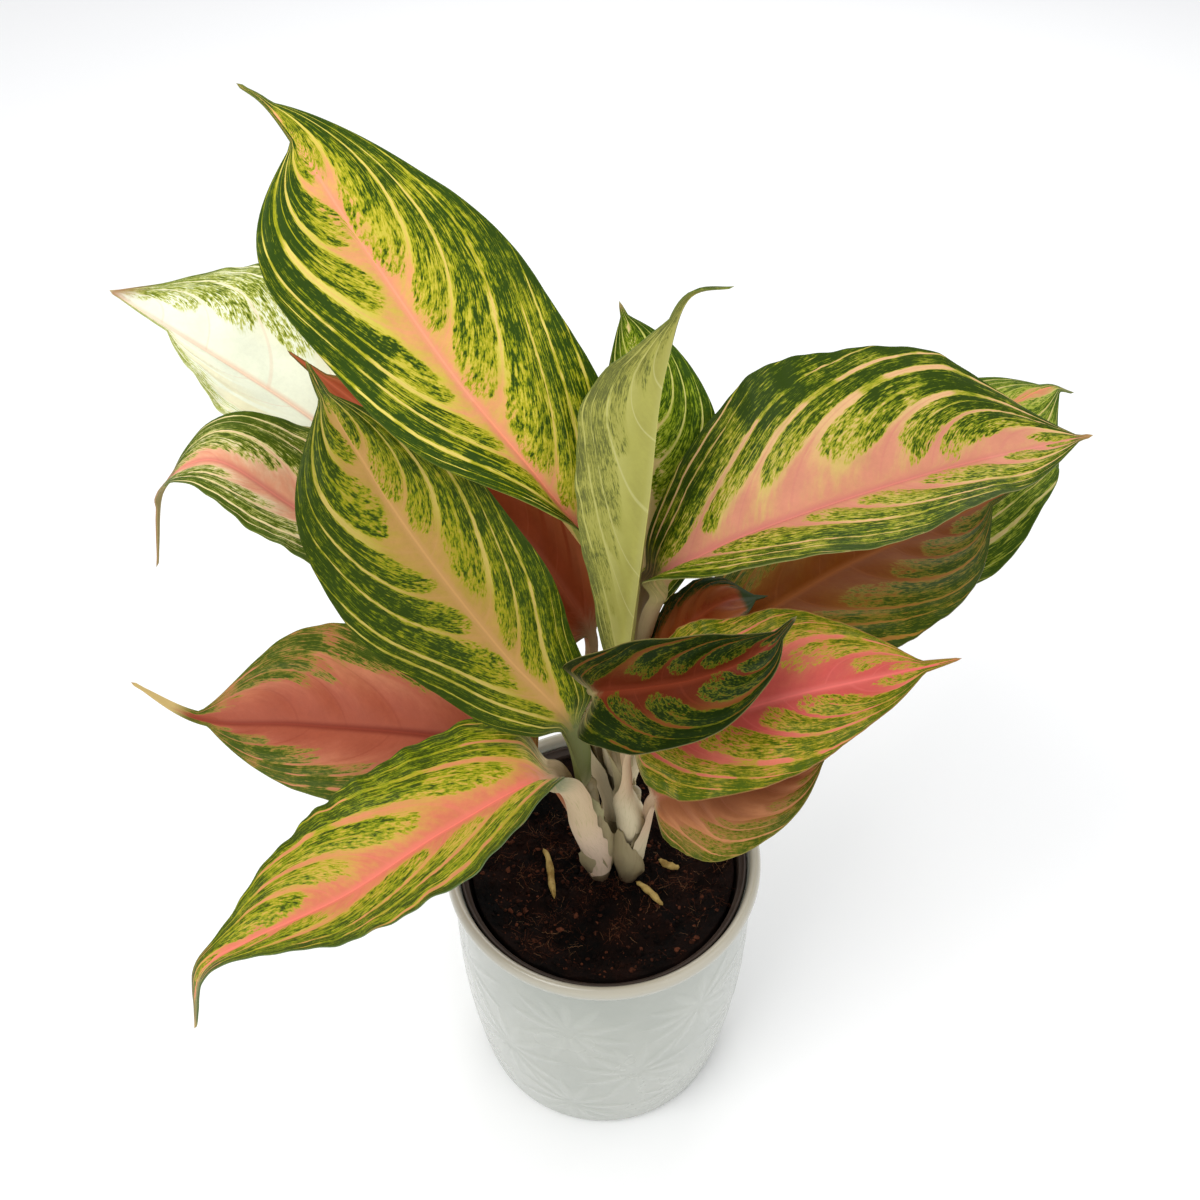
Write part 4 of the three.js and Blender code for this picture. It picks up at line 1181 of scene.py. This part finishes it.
# %% Leaf colours
PLAIN = dict(rib="#e08a70", heart="#dc9a70", field="#c6b848", line="#d9c66a", lime="#a2a120",
             green="#6f7d0e", dark="#33490a", edge="#4c5f1c", stalk="#b9b070", foot="#d2c4a2",
             tip="#77743a", below="#959a52", start=0.1, cover=0.95, ramp=0.5, rim=1.0, depth=0.45,
             blush=(2.0, 3.0), heart_to=(0.0, 0.18), flames=0.35, halo=1.0, veins=7, shift=(0.3, 0.75),
             frill=0.35, quilt=1.0, line_width=0.07, vein_show=0.25, tip_from=0.97, pale_below=0.6,
             rib_show=0.7, patchy=0.25)
LOOKS = [
    dict(rib="#f09a7c", heart="#ea9e70", field="#d2c346", line="#e4d06a", lime="#b0aa22", green="#7f8c10",
         dark="#30470a", ramp=(0.55, 0.8), cover=(1.0, 0.82), depth=0.5, heart_to=(-0.04, 0.2),
         shift=(0.3, 0.6), below="#b5b45c", flames=0.34, patchy=0.5),
    dict(rib="#e8b99c", heart="#ecc8a6", field="#f1f4dc", line="#eee9c4", lime="#bcbe4e", green="#808c22",
         dark="#4f6010", edge="#a3ab62", start=(0.8, 0.45), ramp=(0.3, 0.4), cover=(0.35, 0.56), halo=0.9,
         rim=(0.25, 0.7), tip="#a97e58", tip_from=0.94, below="#d3d4a8", heart_to=(0.0, 0.3), flames=0.2,
         frill=0.7, blush=(0.05, 0.5)),
    dict(rib="#cc7266", heart="#df9a78", field="#f2e4ba", line="#ecd6a0", lime="#aba944", green="#727f22",
         dark="#41530c", start=0.26, ramp=(0.4, 0.45), cover=(0.75, 0.8), halo=0.8, tip="#a97c62",
         tip_from=0.72, heart_to=(0.0, 0.42), frill=0.6),
    dict(rib="#b58a55", heart="#ae864a", field="#9c8c2a", line="#b9a656", lime="#8a8712", green="#5d6a08",
         dark="#2c3d04", edge="#3e4c10", start=0.13, ramp=(0.5, 0.6), cover=(0.9, 0.75),
         heart_to=(-0.02, 0.26), stalk="#666a3e", foot="#a9a27a", below="#7f8440", shift=(0.1, 0.6),
         line_width=0.09),
    # Fifth leaf: its colours are laid on darker and muted, as painted shade under the fourth and first
    # leaves.
    dict(rib="#7e3424", heart="#9a4c36", field="#b0634a", line="#bf7a58", lime="#8a8a2a", green="#62691a",
         dark="#3c4c0a", edge="#5c6a24", start=(0.44, 0.46), ramp=0.3, cover=(0.85, 0.8), halo=0.6,
         rim=(0.4, 0.2), tip="#c8ae72", tip_from=0.84, heart_to=(0.0, 0.6), stalk="#a86a4c",
         below="#8a5a3c", vein_show=0.2, rib_show=1.0, patchy=0.9),
    dict(rib="#e67c6a", heart="#d3775a", field="#cba64a", line="#d08a58", lime="#a69f20", green="#74820c",
         dark="#384608", start=(0.12, 0.14), ramp=0.7, cover=(0.8, 0.85), depth=0.4, veins=6,
         heart_to=(0.0, 0.26), tip="#b2934e", tip_from=0.95, stalk="#c9b290", foot="#d6bda4",
         line_width=0.09, frill=0.8, below="#7e8c70", patchy=0.5),
    dict(rib="#bcb878", heart="#9a9548", field="#a29e4c", line="#b3af62", lime="#7f8226", green="#4d5710",
         dark="#26330a", start=(0.06, 0.4), ramp=(0.3, 0.6), cover=(1.0, 0.62), rim=(1.0, 0.3), depth=0.5,
         stalk="#7c7438", foot="#857c40", below="#a9a760", pale_below=0.25, tip="#6f7c30", vein_show=0.8,
         rib_show=0.3, line_width=0.05, patchy=0.9, halo=0.6),
    dict(rib="#e6cf94", heart="#dfc585", field="#b4bb4a", line="#dbd480", lime="#95a626", green="#688014",
         dark="#314a08", start=(0.04, 0.06), ramp=0.7, cover=0.8, tip="#c79a72", tip_from=0.96),
    dict(rib="#c4746a", heart="#cb876c", field="#c9ae64", line="#d8ac7a", lime="#a39f2a", green="#64740c",
         dark="#2c3f03", edge="#3c4f12", start=(0.2, 0.1), ramp=(0.6, 0.8), cover=(0.94, 0.76),
         heart_to=(-0.02, 0.28), flames=0.6, stalk="#b09a72", foot="#c4b08a", below="#b0a468",
         tip="#a97e52", tip_from=0.95, line_width=0.1, patchy=0.5),
    dict(rib="#d8785c", heart="#c88a60", field="#b4ae58", line="#cabb7c", lime="#9ba43a", green="#6d801c",
         dark="#3a5210", start=(0.06, 0.08), ramp=0.8, cover=0.74, below="#7a8048"),
    dict(rib="#955626", heart="#7b3f0c", field="#8e5e20", line="#9a6e2e", lime="#8c7c2c", green="#5e6614",
         dark="#34450a", edge="#3c4a12", start=(0.36, 0.3), cover=0.8, heart_to=(0.0, 0.6), halo=0.7,
         stalk="#7a5434", below="#70502c", tip="#6a5a2c"),
    # Twelfth leaf: it lies deep in the middle of the plant, and its colours are laid on darker as painted
    # shade.
    dict(rib="#76321c", heart="#5a200a", field="#603014", line="#71431c", lime="#5c5c10", green="#334106",
         dark="#152403", edge="#1c2b09", start=(0.2, 0.1), ramp=(0.35, 0.4), cover=(1.0, 0.98), depth=0.5,
         veins=5, heart_to=(0.02, 0.45), tip="#c9b98e", stalk="#a89a6c", foot="#b5a882", below="#9a8a50",
         line_width=0.1, quilt=0.7, patchy=0.5),
    dict(rib="#d66a62", heart="#be5149", field="#c4734e", line="#ce725a", lime="#a9932c", green="#77770d",
         dark="#445504", edge="#96683c", start=(0.28, 0.14), ramp=(0.6, 0.7), cover=(0.66, 0.8),
         depth=0.4, rim=(0.3, 0.8), veins=6, heart_to=(0.0, 0.5), flames=0.5, tip="#a87252",
         stalk="#c2a988", line_width=0.12, below="#a87a58", frill=0.6, patchy=0.6),
    dict(rib="#ae6a4e", heart="#8f5636", field="#a06540", line="#bd8055", lime="#8a7a2c", green="#5f640f",
         dark="#3a4805", edge="#837a38", start=0.5, ramp=(0.4, 0.5), cover=(0.6, 0.66), depth=0.4,
         rim=(0.3, 0.5), halo=0.75, heart_to=(0.0, 0.6), stalk="#c4a98c", below="#8a5f44"),
    # Fifteenth leaf: its red is laid on darker, as painted shade under the first and fourth leaves.
    dict(rib="#b05a3c", heart="#9c4424", field="#94401f", line="#a85a34", lime="#7a6a20", green="#4c5a10",
         dark="#2c3f08", edge="#5a4a1c", start=0.75, cover=0.5, halo=0.5, rim=0.3, stalk="#a88a68",
         below="#8a3c20"),
    dict(rib="#8f4426", heart="#7c3010", field="#84401a", line="#935026", lime="#5a5814", green="#2a3f10",
         dark="#16290a", edge="#4a3418", start=(0.62, 0.8), ramp=0.2, cover=(0.8, 0.5), rim=(0.3, 0.0),
         halo=0.5, veins=5, stalk="#a88a68", below="#6a3420", tip="#26380e", tip_from=0.76),
]
for leaf, look in zip(LEAVES, LOOKS):
    leaf.update(in_halves({**PLAIN, **look}), seed=leaf["phase"] + 0.6)
print("looks:", len(LOOKS))

# %% Leaf finish
TINTS = (
    "rib", "heart", "field", "line", "lime", "green", "dark", "edge", "stalk", "foot", "tip", "below",
)


def leaf_paint(number, leaf):
    """The variegated blade, its stalk and its paler back, as one material."""
    paint = Paint(f"leaf_{number:02d}_finish", {"Specular IOR Level": 0.1})
    smooth, blend = paint.smooth, paint.mix
    tint = {name: colour(leaf[name]) for name in TINTS}
    spot = paint.place()
    names = ("along", "side", "vein", "reach", "edge", "under")
    along, side, vein, reach, edge, under = (paint.attribute(name) for name in names)
    out = abs(side)
    right = side.calc("GREATER_THAN", side, 0.0)
    fine = paint.noise(spot, 650.0, 3.0, 0.7)
    blotch = paint.noise(spot, 95.0, 3.0, 0.6)
    drawn = paint.combine(vein * 12.0, out * 6.0 + along * 11.0, leaf["seed"])
    streak = paint.noise(drawn, 1.0, 3.0, 0.6)
    speck = paint.noise(drawn, 2.6, 2.0, 0.6)

    nearest = vein.calc("ROUND", vein)
    off_vein = abs(vein - nearest)
    chance = paint.draw(nearest + right * 31.0 + leaf["seed"])

    def side_of(name):
        return right * (leaf[name][1] - leaf[name][0]) + leaf[name][0]

    start = side_of("start") + (chance - 0.5) * 0.16 - smooth(along, 0.45, 1.0) * 0.2
    inward = out - start
    flame = leaf["line_width"] * (1 - out * 0.25) * (chance + 0.5)
    flame = (1 - smooth(inward, -0.08, 0.16)) * 0.3 + flame
    flame = flame * (1 - smooth(out - chance * 0.25, 0.6, 0.9))
    ragged = (streak - 0.5) * 0.1 + (speck - 0.5) * 0.1
    island = smooth(off_vein - flame + ragged, -0.03, 0.08)
    patch = paint.noise(spot, 60.0, 2.0, 0.5)
    island = island + (1 - island) * smooth(patch, 0.48, 0.6) * smooth(out, 0.45, 0.8) * leaf["patchy"]
    second = (1 - smooth(0.5 - off_vein, 0.01, 0.06)) * smooth(inward, 0.15, 0.3)
    second = second * (1 - smooth(out, 0.55, 0.8)) * smooth(chance, 0.3, 0.6)
    island = island * (1 - second * 0.6)
    thick = smooth(inward, -0.06, 0.08) * 0.45 + smooth(inward, 0.04, side_of("ramp")) * 0.55
    thick = thick * side_of("cover") * (1 - smooth(patch, 0.5, 0.36) * leaf["patchy"] * 0.6)
    thick = thick + (1.0 - thick) * smooth(edge, 4.0, 0.8) * side_of("rim")
    grain = (speck - 0.5) * 2.2 + (streak - 0.5) * 1.5 + (fine - 0.5) * 0.8 + (blotch - 0.5) * 0.9
    amount = island * (thick + grain * smooth(thick, 0.0, 0.3))

    wide = out + (streak - 0.5) * 0.3 - (0.5 - off_vein) * leaf["flames"] * smooth(out, 0.0, 0.25)
    near = (1 - smooth(wide, *leaf["heart_to"])) * (1 - smooth(along, *leaf["blush"]))
    flesh = blend(smooth(out, 0.2, 0.6) * (1 - island), tint["field"], tint["line"])
    flesh = blend(near, flesh, tint["heart"])
    flesh = paint.shade(flesh, blotch * 0.24 + fine * 0.16 + 0.8)
    rib = (1 - smooth(reach + along * 1.6, 1.0, 3.2)) * smooth(along, -0.02, 0.1)
    flesh = blend(rib * leaf["rib_show"], flesh, tint["rib"])
    vein_line = (1 - smooth(off_vein, 0.008, 0.03)) * smooth(edge, 2.0, 8.0) * leaf["vein_show"]
    flesh = blend(vein_line, flesh, tint["rib"])
    shown = blend(smooth(amount, 0.0, 0.35) * leaf["halo"], flesh, tint["lime"])
    shown = blend(smooth(amount, 0.3, 0.6), shown, tint["green"])
    dark_from = 1.0 - leaf["depth"]
    shown = blend(smooth(amount, dark_from, dark_from + 0.32), shown, tint["dark"])

    # Painted highlight: a thin lighter line along the ridge of the midrib.
    middle = (1 - smooth(reach, 0.15, 0.5)) * smooth(along, 0.02, 0.15) * 0.14
    shown = paint.shade(shown, middle + 1.0)
    margin = (1 - smooth(edge, 0.15, 0.5)) * 0.7
    shown = blend(margin, shown, tint["edge"])
    tip = smooth(along + (streak - 0.5) * 0.05, leaf["tip_from"], leaf["tip_from"] + 0.06)
    shown = blend(tip, shown, tint["tip"])

    stalk = blend(smooth(along, -0.72, -0.3), tint["foot"], tint["stalk"])
    stalk = blend(smooth(streak, 0.5, 0.72) * 0.3, stalk, tint["green"])
    shown = blend(smooth(along + (streak - 0.5) * 0.06, -0.03, 0.09), stalk, shown)
    back = blend(leaf["pale_below"], shown, tint["below"])
    shown = blend(under * smooth(along, -0.1, 0.05), shown, back)
    relief = paint.bump(fine + blotch * 0.5, 0.25, 0.00025)
    paint.feed(shown, fine * 0.12 + under * 0.12 + 0.4, relief)
    return paint


face_count = 0
for number, leaf in enumerate(LEAVES, start=1):
    rings, notes, ends = leaf_rings(leaf)
    piece = lofted(f"evergreen_leaf_{number:02d}", rings, notes, SHARP_EDGE, ends)
    dress(piece, leaf_paint(number, leaf), f"leaf_{number:02d}")
    face_count += len(piece.data.polygons)
print("leaves:", len(LEAVES), "with", face_count, "faces")

# %% [markdown]
# ## Old roots and bark
#
# Two cut ends of old root and a bit of bark lie on the peat. They are slim, knobbly and
# tan, thicker in the middle, and each is lofted along a short bent line.

# %% Old roots and bark
STUBS = [
    {"name": "root_stub_1", "plan": [(-26, 8), (-23.5, 2), (-22, -8), (-20.5, -17)], "radius": 1.5},
    {"name": "root_stub_2", "plan": [(14, -9), (19, -13), (25, -20)], "radius": 1.4},
    {"name": "bark_bit_1", "plan": [(24, 2), (28, 0), (33, -1)], "radius": 1.4},
]
STUB_LIFT = 0.3


def stub_piece(stub, seed):
    lift = stub["radius"] + STUB_LIFT
    spine = Spine([(x, y, soil_height(x, y) + lift) for x, y in stub["plan"]])
    shares = np.linspace(0, 1, 46)
    centre, along = spine.read(shares)
    across = square_to(np.tile([1.0, 0, 0], (len(shares), 1)), along)
    normal = np.cross(across, along)
    turns = np.linspace(0, math.tau, 25)
    swell = 1 - 0.5 * (2 * shares - 1) ** 2 + 0.1 * np.sin(19 * shares + seed)
    swell = swell * np.minimum(1, 12 * np.minimum(shares, 1 - shares) + 0.15)
    knobs = 1 + 0.12 * np.sin(2 * turns + seed)[None]
    knobs = knobs + 0.07 * np.sin(3 * turns[None] + 14 * shares[:, None])
    radius = stub["radius"] * swell[:, None] * knobs
    rings = centre[:, None] + across[:, None] * (radius * np.cos(turns))[..., None]
    rings = rings + normal[:, None] * (radius * np.sin(turns))[..., None]
    return lofted(stub["name"] + "_rough", rings, {}, None, (centre[0], centre[-1]))


root_paint = Paint("old_root", {"Specular IOR Level": 0.25})
spot = root_paint.place()
patches = root_paint.noise(spot, 260.0, 4.0, 0.65)
grain = root_paint.noise(spot, 1100.0, 3.0, 0.6)
tan = root_paint.mix(root_paint.smooth(patches, 0.35, 0.62), colour("#8d6f35"), colour("#b59a58"))
tan = root_paint.mix(root_paint.smooth(grain, 0.55, 0.75) * 0.6, tan, colour("#5b3f22"))
root_paint.feed(tan, patches * 0.25 + 0.5, root_paint.bump(grain + patches, 0.5, 0.0005))
for seed, stub in enumerate(STUBS):
    dress(stub_piece(stub, seed), root_paint, stub["name"])
print("stubs:", len(STUBS))
